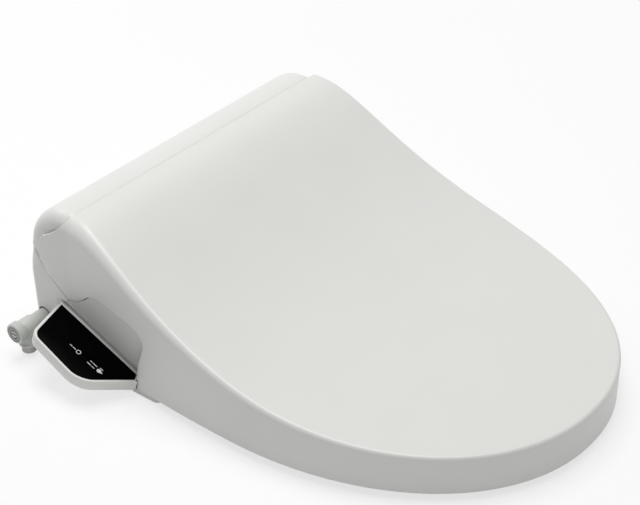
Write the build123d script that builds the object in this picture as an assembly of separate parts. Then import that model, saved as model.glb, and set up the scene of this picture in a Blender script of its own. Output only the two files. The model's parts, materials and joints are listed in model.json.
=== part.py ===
from build123d import *
import math
import os

# Electric bidet seat. Millimetres, +Z up, -Y towards the user's knees, +X the user's left.
# The origin lies midway between the two bowl bolts, on the plane of the bowl's rim.

# Driving dimensions of the lid
LID_HALF_WIDTH = 192.5
LID_WIDEST_Y = -205.0
LID_FRONT_Y = -464.5
LID_REAR_HALF_WIDTH = 181.0
LID_REAR_Y = 34.0
LID_BOTTOM_Z = 8.0
LID_WALL = 3.5
LID_ROUNDNESS = 2.1
LID_CROWN = [(-10.9, 154.3), (-28, 152), (-50, 143.5), (-92, 120), (-145, 93), (-195, 74.5),
             (-265, 58.5), (-345, 50), (-480, 47.5)]

# Hinge line and the round rear ridge that is concentric with it
HINGE_Y = 2.0
HINGE_Z = 106.0
RIDGE_R = 46.0
LID_EDGE_R = 50.0
SEAM_DEG = 15.0
TONGUE_R = 28.0
PIN_R = 6.0
BUSH_R = 9.0
RUNNING_GAP = 0.05
CLEARANCE = 0.4

# Housing
HOUSING_HALF_WIDTH = 175.5
HOUSING_FRONT_Y = -96.0
HOUSING_REAR_Y = 46.5
SPLIT_Z = 16.0
WALL = 3.0
CORE_HALF_WIDTH = 149.0
SLOT_OUTER = 161.0
CORNER_R = 16.0
CHEEK_HALF_WIDTH = 181.0
CHEEK_CORNER_R = 10.0
CHEEK_FRONT_Y = 10.5
APRON_HALF_WIDTH = 180.5
APRON_NOSE_X = 170
APRON = [(4, 61.2), (-2.4, 63), (-11, 64.8), (-20, 68.8), (-32, 77), (-43, 82), (-72, 79.8), (-96, 73),
         (-101.5, 69.5), (-103.5, 64), (-101.5, 54), (-97.5, 47.5), (-95, 38), (-92, 21)]
CHEEK_TOP = [(42, 98.5), (30, 89), (15.6, 79.2), (11.5, 75.2), (-2.4, 63), (-2.4, 58.4), (4.6, 61.4)]
TOP_GAP = 7.5
SCREW_X = 155.0
SCREW_R = 1.7
SCREW_HEAD_R = 3.4
PAD_X = 132.0
PAD_R = 8.0
PAD_TOP_Z = 2.4

# Seat ring
SEAT_INSET = 6.0
SEAT_REAR_Y = -100.0
SEAT_BOTTOM_Z = 10.0
SEAT_SPLIT_Z = 27.0
SEAT_TOP_Z = 38.0
SEAT_ARM_TOP_Z = 46.0
SEAT_ARM_BOTTOM_Z = 28.0
OPENING_HALF_WIDTH = 107.0
OPENING_REAR_Y = -135.0
OPENING_FRONT_Y = -378.0

# Mounting plate for the two bowl bolts
BOLT_SPACING = 140.0
BOLT_SLOT_R = 4.25
BOLT_SLOT_LENGTH = 24.0
PLATE_HALF_WIDTH = 100.0
PLATE_HALF_DEPTH = 22.0
PLATE_LIP = 10.0
TUNNEL_ROOF_Z = 14.0
TRAY_BOTTOM_Z = 0.8

# Wash wands, their rack and their drive gears
WAND_X = 12.0
WAND_R = 7.0
WAND_TIP_Y = -88.0
WAND_TIP_Z = 9.7
WAND_LENGTH = 125.0
WAND_SLOPE_DEG = 37.0
GEAR_MODULE = 1.0
GEAR_TEETH = 16
RACK_PITCH_H = 9.0
GEAR_AT_S = 32.0
GEAR_SHAFT_R = 2.0

# Control arm
ARM_TOP_Y = 1.0
ARM_TOP_Z = 58.5
ARM_SLOPE = 0.4137
ARM_THICKNESS = 13.0
ARM_COVER = 2.0
GLASS = [(-186.5, 1.8), (-225, -7), (-231, -63), (-223, -72), (-190.5, -92), (-186.5, -89)]
GLASS_CORNERS = {1: 7, 2: 8, 3: 8}
GLASS_THICKNESS = 2.0

# Water inlet
INLET_Y = 32.0
INLET_Z = 31.5
INLET_R = 6.5
THREAD_R = 7.15
BRANCH_X = -205.0
CAP_R = 10.2

# Power cord's gland, on the other side
CORD_Z = 25.0
CORD_R = 3.5

# Dryer
BLOWER_Y = -18.0
BLOWER_Z = 66.0
BLOWER_X = (60.0, 92.0)
BLOWER_R = 34.0
BLOWER_SHAFT_R = 2.0
BLADES = 24
BLADE_TIP_R = 28.0
OUTLET_X = (56.0, 92.0)
FLAP_Y = -94.5
FLAP_HINGE_Z = 13.1
FLAP_PIN_R = 0.8


def prism_yz(points, x0, x1):
    """A side outline carried across the width from x0 to x1."""
    face = Plane.YZ * make_face(Polyline(*points, close=True))
    return Pos(x0, 0, 0) * extrude(face, x1 - x0)


def block(x, y, z):
    """A box from its low and high limits along each axis."""
    size = [b - a for a, b in (x, y, z)]
    middle = [(a + b) / 2 for a, b in (x, y, z)]
    return Pos(*middle) * Box(*size)


def rod_x(y, z, r, x0, x1):
    """A round bar along X."""
    return Pos((x0 + x1) / 2, y, z) * Rot(0, 90, 0) * Cylinder(r, abs(x1 - x0))


def rod_z(x, y, r, z0, z1):
    """A round bar along Z."""
    return Pos(x, y, (z0 + z1) / 2) * Cylinder(r, z1 - z0)


def mirrored(solid):
    """The solid and its twin on the other side of the middle plane."""
    return solid + mirror(solid, Plane.YZ)


def side_half_width(y):
    """Half width of the lid behind its widest point."""
    rise = (y - LID_WIDEST_Y) / (-10.9 - LID_WIDEST_Y)
    return LID_HALF_WIDTH - (LID_HALF_WIDTH - LID_REAR_HALF_WIDTH) * min(rise, 1.0) ** 2


def plan(inset, rear_y):
    """The lid's plan outline, drawn in by an inset, as a flat face on Z = 0."""
    half = [(side_half_width(y) - inset, y) for y in (-10.9, -60.0, -110.0, -160.0)]
    a = LID_HALF_WIDTH - inset
    b = LID_WIDEST_Y - LID_FRONT_Y - inset
    for step in range(9):
        turn = math.radians(90 * step / 8)
        x = a * math.cos(turn) ** (2 / LID_ROUNDNESS) if step < 8 else 0.0
        half.append((x, LID_WIDEST_Y - b * math.sin(turn) ** (2 / LID_ROUNDNESS)))
    around = half + [(-x, y) for x, y in reversed(half[:-1])]
    curve = Spline(*around)
    left = (LID_REAR_HALF_WIDTH - inset, rear_y)
    right = (inset - LID_REAR_HALF_WIDTH, rear_y)
    return make_face([curve, Line(curve @ 1, right), Line(right, left), Line(left, curve @ 0)])


def crown_body(drop, inset, rear_y, bottom_z):
    """The plan carried up to the lid's crown, lowered by a drop."""
    tall = Pos(0, 0, bottom_z) * extrude(plan(inset, rear_y), 190)
    points = [(y, z - drop) for y, z in LID_CROWN]
    crown = Spline(*points)
    below = bottom_z - 5
    rear_y = rear_y + 5
    around = Polyline(points[-1], (points[-1][0], below), (rear_y, below), (rear_y, points[0][1]), points[0])
    edges = [crown, around]
    side = Plane.YZ * make_face(edges)
    return tall & Pos(-250, 0, 0) * extrude(side, 500)


def polar(r, degrees):
    """A point on a circle about the hinge, at an angle forward of straight up."""
    turn = math.radians(degrees)
    return (HINGE_Y - r * math.sin(turn), HINGE_Z + r * math.cos(turn))


def lid_side(with_arch):
    """What the lid keeps, seen from the side: the tongue at the hinge, the skirt and the arch."""
    seam_out = polar(LID_EDGE_R + 20, SEAM_DEG)
    seam_in = polar(LID_EDGE_R - 6, SEAM_DEG)
    tip_up, tip_low = (22.0, 125.4), (25.9, 91.5)
    round_end = ThreePointArc(tip_up, (HINGE_Y + TONGUE_R, HINGE_Z), tip_low)
    heel = (-3.3, 64.4)
    path = [Polyline(seam_out, seam_in, (-4.7, 147), tip_up), round_end, Polyline(tip_low, (12, 77), heel)]
    if with_arch:
        path.append(Spline(heel, (-12, 67), (-22, 72.6), (-32, 80), (-43, 84.5), (-72, 82), (-101, 74.4)))
        path.append(Spline((-101, 74.4), (-107.5, 67), (-106, 56), (-97, 33), (-93, 0)))
    else:
        path.append(Line(heel, (-14, 0)))
    foot = path[-1] @ 1
    path.append(Polyline(foot, (-500, 0), (-500, 175), seam_out))
    return Plane.YZ * make_face(path)


def lid():
    shell = crown_body(0, 0, LID_REAR_Y, LID_BOTTOM_Z)
    shell = shell - crown_body(LID_WALL, LID_WALL, LID_REAR_Y + 8, LID_BOTTOM_Z - 1)
    arm_side = Pos(-250, 0, 0) * extrude(lid_side(True), 250)
    plain_side = extrude(lid_side(False), 250)
    shell = (shell & arm_side) + (shell & plain_side)
    inner = LID_REAR_HALF_WIDTH - LID_WALL
    shell = shell + mirrored(rod_x(HINGE_Y, HINGE_Z, 11, HOUSING_HALF_WIDTH + 0.8, inner + 0.2))
    return shell - mirrored(rod_x(HINGE_Y, HINGE_Z, PIN_R, 170, inner + 1.5))


def hinge_pin(side):
    x0, x1 = CORE_HALF_WIDTH - 2.5, LID_REAR_HALF_WIDTH - LID_WALL + 1.5
    return rod_x(HINGE_Y, HINGE_Z, PIN_R, side * x0, side * x1)


def lid_bumpers():
    pads = rod_z(135, -260, 7, 38.4, 47)
    front = rod_z(52, -424, 7, 38.4, 43.5)
    return mirrored(pads) + mirrored(front)


def opening(grow, z0, z1):
    """The ring's egg shaped opening as a solid, grown by an amount."""
    middle = (OPENING_REAR_Y + OPENING_FRONT_Y) / 2
    half = (OPENING_REAR_Y - OPENING_FRONT_Y) / 2 + grow
    egg = Ellipse(OPENING_HALF_WIDTH + grow, half)
    return Pos(0, middle, z0) * extrude(egg, z1 - z0)


def ring(inset, grow, rear_y, z0, z1):
    """A flat ring between the inset lid outline and the grown opening."""
    flat = Pos(0, 0, z0) * extrude(plan(SEAT_INSET + inset, LID_REAR_Y), z1 - z0)
    flat = flat & block((-200, 200), (-480, rear_y), (z0, z1))
    return flat - opening(grow, z0 - 1, z1 + 1)


def seat_arm(side):
    """Gooseneck arm: a leg down from the hinge, then a bar forward to the ring."""
    x0, x1 = CORE_HALF_WIDTH + 0.6, SLOT_OUTER - 0.6
    leg = block((x0, x1), (HINGE_Y - 12, HINGE_Y + 12), (SEAT_ARM_BOTTOM_Z, HINGE_Z))
    bar = block((x0, x1), (SEAT_REAR_Y - 12, HINGE_Y + 12), (SEAT_ARM_BOTTOM_Z, SEAT_ARM_TOP_Z))
    eye = rod_x(HINGE_Y, HINGE_Z, 14, x0, x1)
    arm = leg + bar + eye - rod_x(HINGE_Y, HINGE_Z, PIN_R + RUNNING_GAP, x0 - 1, x1 + 1)
    return arm if side > 0 else mirror(arm, Plane.YZ)


def seat_top():
    body = ring(0, 0, SEAT_REAR_Y, SEAT_SPLIT_Z, SEAT_TOP_Z) - seat_heater()
    rise = [(SEAT_REAR_Y, SEAT_TOP_Z - 2), (SEAT_REAR_Y, SEAT_ARM_TOP_Z),
            (SEAT_REAR_Y - 14, SEAT_ARM_TOP_Z), (SEAT_REAR_Y - 50, SEAT_TOP_Z),
            (SEAT_REAR_Y - 50, SEAT_TOP_Z - 2)]
    body = body + (prism_yz(rise, -165, 165) - opening(0, 0, 60))
    return body + seat_arm(1) + seat_arm(-1)


def seat_bottom():
    core = ring(WALL, WALL + 1, SEAT_REAR_Y - 4, SEAT_BOTTOM_Z, SEAT_SPLIT_Z)
    return core - block((-98, 98), (SEAT_REAR_Y - 32, -90), (0, 30))


def seat_heater():
    """Heating foil let into the underside of the top, above the foam core."""
    return ring(14, 14, SEAT_REAR_Y - 40, SEAT_SPLIT_Z, SEAT_SPLIT_Z + 1.2)


def seat_bumpers():
    side = rod_z(146, -230, 9, 0, SEAT_BOTTOM_Z)
    front = rod_z(62, -418, 9, 0, SEAT_BOTTOM_Z)
    return mirrored(side) + mirrored(front)


def housing_side(inset, bottom_z):
    """The housing's side outline: straight rear wall, round ridge, slope under the lid, front wall."""
    r = RIDGE_R - inset
    rear = (HOUSING_REAR_Y - inset, bottom_z)
    tail = (HINGE_Y + r, HINGE_Z)
    brow = polar(r, SEAM_DEG - 6)
    slope = [polar(r - 1.3, SEAM_DEG + 1)] + [(y, z - TOP_GAP - inset) for y, z in LID_CROWN[1:4]]
    front_y = HOUSING_FRONT_Y + inset
    front_z = slope[-1][1] - (slope[-1][0] - front_y) * 0.56
    edges = [Line(rear, tail), ThreePointArc(tail, polar(r, -45), brow), Spline(brow, *slope),
             Polyline(slope[-1], (front_y, front_z), (front_y, bottom_z), rear)]
    return Plane.YZ * make_face(edges)


def housing_block(inset, x0, x1, bottom_z):
    return Pos(x0, 0, 0) * extrude(housing_side(inset, bottom_z), x1 - x0)


def housing_plan(w, rear_y, corner_r):
    """Plan of the housing with its two round rear corners, as a tall solid."""
    body = block((-w, w), (HOUSING_FRONT_Y, rear_y), (-5, 180))
    rear = [e for e in body.edges().filter_by(Axis.Z) if e.center().Y > 0]
    return fillet(rear, corner_r)


def cheeks():
    """The housing's sides behind and below the lid's tongues, flush with the lid."""
    top_z = CHEEK_TOP[0][1]
    rise = (top_z - SPLIT_Z) / (HINGE_Z - SPLIT_Z)
    top_y = HOUSING_REAR_Y + (HINGE_Y + RIDGE_R - HOUSING_REAR_Y) * rise
    side = [(HOUSING_REAR_Y, SPLIT_Z), (top_y, top_z)] + CHEEK_TOP
    side = side + [(CHEEK_FRONT_Y, CHEEK_TOP[-1][1]), (CHEEK_FRONT_Y, SPLIT_Z)]
    solid = prism_yz(side, CORE_HALF_WIDTH, CHEEK_HALF_WIDTH)
    return mirrored(solid & housing_plan(CHEEK_HALF_WIDTH, HINGE_Y + RIDGE_R, CHEEK_CORNER_R))


def apron():
    """The wall above the control arm, which fills the lid's arch; its thin nose clears the lid's hollow."""
    wall = prism_yz(APRON, -APRON_HALF_WIDTH, -CORE_HALF_WIDTH)
    return wall - block((-APRON_NOSE_X, 0), (HOUSING_FRONT_Y - 15, HOUSING_FRONT_Y), (0, HINGE_Z))


def arm_slots():
    """Room for the two seat arms over their whole swing."""
    x0, x1 = CORE_HALF_WIDTH, SLOT_OUTER
    front = block((x0, x1), (HOUSING_FRONT_Y - 5, -42), (24, 180))
    window = block((x0, x1), (-43, HINGE_Y + 14), (26, HINGE_Z + 26))
    eye = rod_x(HINGE_Y, HINGE_Z, 17, x0, x1)
    return mirrored(front + window + eye)


def front_ports():
    """Openings at the foot of the front wall for the wands and for warm air."""
    wands = block((-24, 24), (-110, -70), (-2, 24))
    air = block(OUTLET_X, (-110, -90), (2.6, FLAP_HINGE_Z + 1.5))
    pin = rod_x(FLAP_Y, FLAP_HINGE_Z, FLAP_PIN_R + RUNNING_GAP, OUTLET_X[0] - 2, OUTLET_X[1] + 2)
    return wands + air + pin


def rear_cover():
    w = HOUSING_HALF_WIDTH
    ridge_y = HINGE_Y + RIDGE_R
    body = (housing_block(0, -w, w, SPLIT_Z) & housing_plan(w, ridge_y, CORNER_R)) + cheeks() + apron()
    core = housing_block(WALL, WALL - CORE_HALF_WIDTH, CORE_HALF_WIDTH - WALL, SPLIT_Z - 1)
    pocket = housing_block(WALL, SLOT_OUTER + WALL, w - WALL, SPLIT_Z - 1)
    pocket = pocket & housing_plan(w - WALL, ridge_y - WALL, CORNER_R - WALL)
    eye = rod_x(HINGE_Y, HINGE_Z, 13, SLOT_OUTER, w)
    body = body - core - mirrored(pocket) + mirrored(eye) - arm_slots()
    body = body - mirrored(rod_x(HINGE_Y, HINGE_Z, PIN_R + RUNNING_GAP, 140, SLOT_OUTER + 1))
    body = body - mirrored(rod_x(HINGE_Y, HINGE_Z, BUSH_R, SLOT_OUTER, w + 1))
    body = body - front_ports() - rod_x(INLET_Y, INLET_Z, 9, -190, -140)
    body = body - rod_x(INLET_Y, CORD_Z, 6, 140, 190) - rod_x(INLET_Y, CORD_Z, 9, w, 190)
    body = body - block((SLOT_OUTER + 2, 190), (5.5, 28.5), (39.5, 52.5))
    return body - screw_holes()


def hinge_bushes():
    x0, x1 = SLOT_OUTER, HOUSING_HALF_WIDTH
    tube = rod_x(HINGE_Y, HINGE_Z, BUSH_R, x0, x1)
    return mirrored(tube - rod_x(HINGE_Y, HINGE_Z, PIN_R + RUNNING_GAP, x0 - 1, x1 + 1))


def damper(side):
    x1 = CORE_HALF_WIDTH - WALL
    body = rod_x(HINGE_Y, HINGE_Z, 11, side * (x1 - 44), side * x1)
    return body + rod_x(HINGE_Y, HINGE_Z, 6, side * (x1 - 52), side * (x1 - 44))


def screw_places():
    return [(sx * SCREW_X, y) for sx in (-1, 1) for y in (-76, 30)]


def screw_holes():
    holes = [rod_z(x, y, SCREW_R, 0, 18.5) for x, y in screw_places()]
    heads = [rod_z(x, y, SCREW_HEAD_R + 0.2, 0, 3.2) for x, y in screw_places()]
    return holes[0] + holes[1:] + heads


def housing_screws():
    screws = [rod_z(x, y, SCREW_R, 3.2, 18) + rod_z(x, y, SCREW_HEAD_R, 1.2, 3.2) for x, y in screw_places()]
    return screws[0] + screws[1:]


def pad_places():
    return [(sx * PAD_X, y) for sx in (-1, 1) for y in (-74, 26)]


def base_pads():
    pads = [rod_z(x, y, PAD_R, 0, PAD_TOP_Z) for x, y in pad_places()]
    return pads[0] + pads[1:]


def base_tray():
    body = block((-HOUSING_HALF_WIDTH, HOUSING_HALF_WIDTH), (HOUSING_FRONT_Y, HOUSING_REAR_Y),
                 (TRAY_BOTTOM_Z, SPLIT_Z))
    body = body & housing_plan(HOUSING_HALF_WIDTH, HINGE_Y + RIDGE_R, CORNER_R)
    wide = housing_plan(CHEEK_HALF_WIDTH, HOUSING_REAR_Y, CHEEK_CORNER_R)
    body = body + (wide & block((-200, 200), (CHEEK_FRONT_Y, 60), (TRAY_BOTTOM_Z, SPLIT_Z)))
    inner = block((WALL - CORE_HALF_WIDTH, CORE_HALF_WIDTH - WALL),
                  (HOUSING_FRONT_Y + WALL, HOUSING_REAR_Y - WALL), (5, SPLIT_Z + 1))
    roof = block((-118, 118), (-30, HOUSING_REAR_Y), (TRAY_BOTTOM_Z, TUNNEL_ROOF_Z))
    body = body - inner + roof
    c = CLEARANCE
    depth = (-PLATE_HALF_DEPTH - c, HOUSING_REAR_Y + 5)
    body = body - block((-PLATE_HALF_WIDTH - c, PLATE_HALF_WIDTH + c), depth, (-1, 4))
    wide = PLATE_HALF_WIDTH + PLATE_LIP + c
    body = body - block((-wide, wide), depth, (3 - c, 5.5 + c))
    body = body - block((-90, 90), depth, (5, TUNNEL_ROOF_Z - 2.5))
    for x, y in pad_places():
        body = body - rod_z(x, y, PAD_R, -1, PAD_TOP_Z)
    return body - front_ports() - screw_holes()


def mounting_plate():
    flat = block((-PLATE_HALF_WIDTH, PLATE_HALF_WIDTH), (-PLATE_HALF_DEPTH, PLATE_HALF_DEPTH), (0, 3))
    wide = PLATE_HALF_WIDTH + PLATE_LIP
    flat = flat + block((-wide, wide), (-PLATE_HALF_DEPTH, PLATE_HALF_DEPTH), (3, 5.5))
    slot = extrude(SlotOverall(BOLT_SLOT_LENGTH, 2 * BOLT_SLOT_R), 10)
    return flat - mirrored(Pos(BOLT_SPACING / 2, 0, -2) * slot)


def wand_frame():
    """Local frame of a wand: X across, Y up its slope, Z square to it."""
    slope = math.radians(WAND_SLOPE_DEG)
    square = (0, -math.sin(slope), math.cos(slope))
    return Plane(origin=(0, WAND_TIP_Y, WAND_TIP_Z), x_dir=(1, 0, 0), z_dir=square)


def on_slope(solid):
    return wand_frame().location * solid


def rod_s(x, r, s0, s1, h=0.0):
    """A round bar up the slope, in the wand's own frame."""
    return Pos(x, (s0 + s1) / 2, h) * Rot(90, 0, 0) * Cylinder(r, s1 - s0)


def rack(x):
    """Straight rack with flanks at 20 degrees, in step with the gear at rest."""
    pitch = math.pi * GEAR_MODULE
    lean = math.tan(math.radians(20))
    half = pitch / 4 - 0.12
    base = RACK_PITCH_H - 1.1 * GEAR_MODULE
    tip = RACK_PITCH_H + 0.8 * GEAR_MODULE
    bar = block((x - 2.5, x + 2.5), (14, WAND_LENGTH - 4), (4, base))
    teeth = []
    count = int((GEAR_AT_S - 16) / pitch)
    last = int((WAND_LENGTH - 6 - GEAR_AT_S) / pitch)
    for n in range(-count, last):
        middle = GEAR_AT_S + (n + 0.5) * pitch
        low, high = half + 1.1 * lean, half - 0.8 * lean
        outline = [(middle - low, base), (middle - high, tip), (middle + high, tip), (middle + low, base)]
        teeth.append(prism_yz(outline, x - 2.5, x + 2.5))
    return bar + teeth


def wand(side):
    x = side * WAND_X
    tube = rod_s(x, WAND_R, 8, WAND_LENGTH) + rack(x)
    tube = tube - rod_s(x, 3, 10, WAND_LENGTH + 1)
    return on_slope(tube)


def wand_tip(side):
    x = side * WAND_X
    nose = rod_s(x, WAND_R, 2, 8) + Pos(x, 2, 0) * scale(Sphere(WAND_R), (1, 0.3, 1))
    nose = nose - block((x - 10, x + 10), (-9, 7.9), (WAND_R - 1.2, 10))
    jets = [Pos(x + dx, 4.5, WAND_R - 1.2) * Cylinder(0.6, 3) for dx in (-2, 0, 2)]
    return on_slope(nose - jets)


def drive_gear(side):
    """Involute pinion on its motor shaft, one tooth standing in the rack's gap."""
    r = GEAR_MODULE * GEAR_TEETH / 2
    base_r = r * math.cos(math.radians(20))
    tip_r = r + 0.8 * GEAR_MODULE
    root_r = r - 1.1 * GEAR_MODULE

    def involute(at_r):
        spread = math.sqrt(max((at_r / base_r) ** 2 - 1, 0))
        return spread - math.atan(spread)

    half = math.pi / (2 * GEAR_TEETH) - 0.12 / r
    radii = [base_r + (tip_r - base_r) * k / 3 for k in range(4)]
    outline = []
    for n in range(GEAR_TEETH):
        middle = -math.pi / 2 + 2 * math.pi * n / GEAR_TEETH
        rising = [(q, middle - half - involute(r) + involute(q)) for q in radii]
        falling = [(q, 2 * middle - a) for q, a in reversed(rising)]
        first = (root_r, rising[0][1])
        final = (root_r, falling[-1][1])
        outline += [(q * math.cos(a), q * math.sin(a)) for q, a in [first, *rising, *falling, final]]
    centre_h = RACK_PITCH_H + r
    points = [(GEAR_AT_S + u, centre_h + v) for u, v in outline]
    x = side * WAND_X
    gear = prism_yz(points, x - 2.2, x + 2.2)
    shaft = Pos(side * 17, GEAR_AT_S, centre_h) * Rot(0, 90, 0) * Cylinder(GEAR_SHAFT_R, 14)
    return on_slope(gear + shaft)


def gear_axis_height():
    return RACK_PITCH_H + GEAR_MODULE * GEAR_TEETH / 2


def nozzle_guide():
    """Sloped carrier with two end plates, two motor cheeks and its legs."""
    carrier = block((-30, 30), (16, 84), (-13.5, -10.5))
    for s0, s1 in ((16, 22), (76, 84)):
        carrier = carrier + block((-30, 30), (s0, s1), (-12, 11))
    for side in (-1, 1):
        cheek = sorted((side * 20, side * 22.5))
        carrier = carrier + block(cheek, (GEAR_AT_S - 9, GEAR_AT_S + 12), (-12, 29))
        x = side * WAND_X
        carrier = carrier - rod_s(x, WAND_R + 0.35, 10, 90)
        carrier = carrier - block((x - 3, x + 3), (10, 90), (0, 12))
        bore = Rot(0, 90, 0) * Cylinder(GEAR_SHAFT_R + RUNNING_GAP, 10)
        carrier = carrier - Pos(side * 21, GEAR_AT_S, gear_axis_height()) * bore
    legs = block((-26, 26), (-40, -31), (5, 40)) + mirrored(block((25, 30), (-66, -58), (5, 16)))
    return on_slope(carrier) + (legs - on_slope(block((-31, 31), (0, 100), (-12, 40))))


def nozzle_motor(side):
    can = Pos(side * 31.8, GEAR_AT_S, gear_axis_height()) * Rot(0, 90, 0) * Cylinder(10, 18)
    well = Pos(side * 24, GEAR_AT_S, gear_axis_height()) * Rot(0, 90, 0) * Cylinder(2.6, 4)
    plug = block(sorted((side * 34, side * 39)), (GEAR_AT_S + 6, GEAR_AT_S + 14), (9, 25))
    return on_slope(can - well + plug)


def water_tank():
    tank = block((-138, -62), (-80, 12), (14, 92))
    return fillet(tank.edges().filter_by(Axis.Z), 12)


def tank_heater():
    flange = rod_z(-100, -34, 22, 92, 97)
    return flange + rod_z(-110, -34, 3, 97, 106) + rod_z(-90, -34, 3, 97, 106)


def solenoid_valve():
    body = block((-145, -104), (21, 40), (20, 44))
    return body + rod_z(-116, 30, 8, 44, 58) - rod_x(INLET_Y, INLET_Z, INLET_R, -150, -128)


def feed_pump():
    body = rod_x(27, 74, 12, -140, -92) + rod_z(-116, 30, 4, 58, 66)
    return body + block((-120, -112), (12, 20), (70, 78))


def diverter_valve():
    return block((-22, 22), (0, 30), (97, 118)) + rod_z(0, 21, 9, 118, 132)


def tank_hose():
    """Hose that rises from the tank and turns across to the diverter."""
    path = FilletPolyline((-70, 6, 92), (-70, 6, 108), (-22, 6, 108), radius=12)
    return sweep(Plane(origin=path @ 0, z_dir=path % 0) * Circle(4), path)


def blower_housing():
    x0, x1 = BLOWER_X
    drum = rod_x(BLOWER_Y, BLOWER_Z, BLOWER_R, x0, x1)
    drum = drum - rod_x(BLOWER_Y, BLOWER_Z, BLOWER_R - 2, x0 + 2, x1 - 2)
    drum = drum - rod_x(BLOWER_Y, BLOWER_Z, 16, x0 - 1, x0 + 3)
    drum = drum - rod_x(BLOWER_Y, BLOWER_Z, 3, x1 - 3, x1 + 1)
    mouth = block((x0 + 2, x1 - 2), (-70, -40), (34, 50))
    return drum - mouth


def blower_wheel():
    x0, x1 = BLOWER_X
    hub = rod_x(BLOWER_Y, BLOWER_Z, 8, x0 + 5, x1 - 5)
    hub = hub + rod_x(BLOWER_Y, BLOWER_Z, BLADE_TIP_R, x1 - 8, x1 - 6)
    blade = block((x0 + 5, x1 - 7), (BLADE_TIP_R - 7, BLADE_TIP_R), (-0.6, 0.6))
    for n in range(BLADES):
        hub = hub + Pos(0, BLOWER_Y, BLOWER_Z) * Rot(360 / BLADES * n, 0, 0) * blade
    return hub + rod_x(BLOWER_Y, BLOWER_Z, BLOWER_SHAFT_R, x1 - 6, x1 + 8)


def blower_motor():
    x1 = BLOWER_X[1]
    can = rod_x(BLOWER_Y, BLOWER_Z, 17, x1, x1 + 26)
    return can - rod_x(BLOWER_Y, BLOWER_Z, BLOWER_SHAFT_R + RUNNING_GAP, x1 - 1, x1 + 9)


def dryer_duct():
    """Square duct from the blower's mouth down to the outlet in the front wall."""
    x0, x1 = OUTLET_X
    outer = prism_yz([(-40.5, 34), (-56, 52), (-93, 20), (-93, 5), (-72, 5)], x0 - 2, x1 + 2)
    inner = prism_yz([(-40, 37), (-58, 51), (-94, 17), (-94, 7), (-72.5, 7)], x0, x1)
    drum = rod_x(BLOWER_Y, BLOWER_Z, BLOWER_R, x0 - 5, x1 + 5)
    return outer - inner - drum


def dryer_flap():
    x0, x1 = OUTLET_X
    c = CLEARANCE
    door = block((x0 + c, x1 - c), (FLAP_Y - 0.7, FLAP_Y + 0.7), (3.2, FLAP_HINGE_Z + 0.9))
    return door + rod_x(FLAP_Y, FLAP_HINGE_Z, FLAP_PIN_R, x0 - 1.6, x1 + 1.6)


def main_board():
    board = block((-50, 50), (34.5, 36), (30, 86))
    chips = block((-30, -10), (30, 34.5), (40, 60)) + block((8, 34), (26, 34.5), (38, 66))
    return board + chips + block((-46, -40), (28, 34.5), (66, 82))


def power_supply():
    return block((96, 142), (-6, 38), (14, 44)) + block((104, 134), (4, 30), (44, 47))


def cord_gland():
    body = rod_x(INLET_Y, CORD_Z, 6, CORE_HALF_WIDTH - WALL, HOUSING_HALF_WIDTH)
    body = body + rod_x(INLET_Y, CORD_Z, 9, HOUSING_HALF_WIDTH, CHEEK_HALF_WIDTH + 2)
    return body - rod_x(INLET_Y, CORD_Z, CORD_R, 140, 190)


def release_button():
    cap = block((168, CHEEK_HALF_WIDTH + 3), (6, 28), (40, 52))
    return fillet(cap.edges().filter_by(Axis.X), 3)


def inlet_tee():
    pipe = rod_x(INLET_Y, INLET_Z, INLET_R, -198, -128) + rod_x(INLET_Y, INLET_Z, 8.2, -212, -197)
    drop = rod_z(BRANCH_X, INLET_Y, 6, 12, INLET_Z) + rod_z(BRANCH_X, INLET_Y, 9, 12, 14.5)
    drop = drop + rod_z(BRANCH_X, INLET_Y, THREAD_R, 4, 12)
    bore = rod_x(INLET_Y, INLET_Z, 4, -213, -127) + rod_z(BRANCH_X, INLET_Y, 4, 3, INLET_Z)
    return pipe + drop - bore


def inlet_seal():
    return rod_x(INLET_Y, INLET_Z, 9, -172, -162) - rod_x(INLET_Y, INLET_Z, INLET_R, -173, -161)


def filter_cap():
    cap = rod_x(INLET_Y, INLET_Z, CAP_R, -221, -212) + rod_x(INLET_Y, INLET_Z, 4, -212, -200)
    groove = rod_x(INLET_Y, INLET_Z, CAP_R - 2.4, -222, -220)
    groove = groove - rod_x(INLET_Y, INLET_Z, CAP_R - 3.8, -223, -219)
    slot = block((-222, -219), (INLET_Y - 4, INLET_Y + 4), (INLET_Z - 0.8, INLET_Z + 0.8))
    return cap - groove - slot


def arm_frame():
    """Local frame of the control arm: X across, Y up its slope, Z out of the glass."""
    slope = math.atan(ARM_SLOPE)
    square = (0, -math.sin(slope), math.cos(slope))
    return Plane(origin=(0, ARM_TOP_Y, ARM_TOP_Z), x_dir=(1, 0, 0), z_dir=square)


def arm_slab(points, radii, top, bottom):
    """A slab of the sloped arm from its plan outline, with rounded outer corners."""
    run = math.cos(math.atan(ARM_SLOPE))
    local = [(x, (y - ARM_TOP_Y) / run) for x, y in points]
    slab = extrude(make_face(Polyline(*local, close=True)), top - bottom)
    for corner, radius in radii.items():
        x, v = local[corner]
        upright = slab.edges().filter_by(Axis.Z)
        edge = [e for e in upright if math.dist((e.center().X, e.center().Y), (x, v)) < 0.1]
        slab = fillet(edge, radius)
    return arm_frame().location * Pos(0, 0, bottom) * slab


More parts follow.
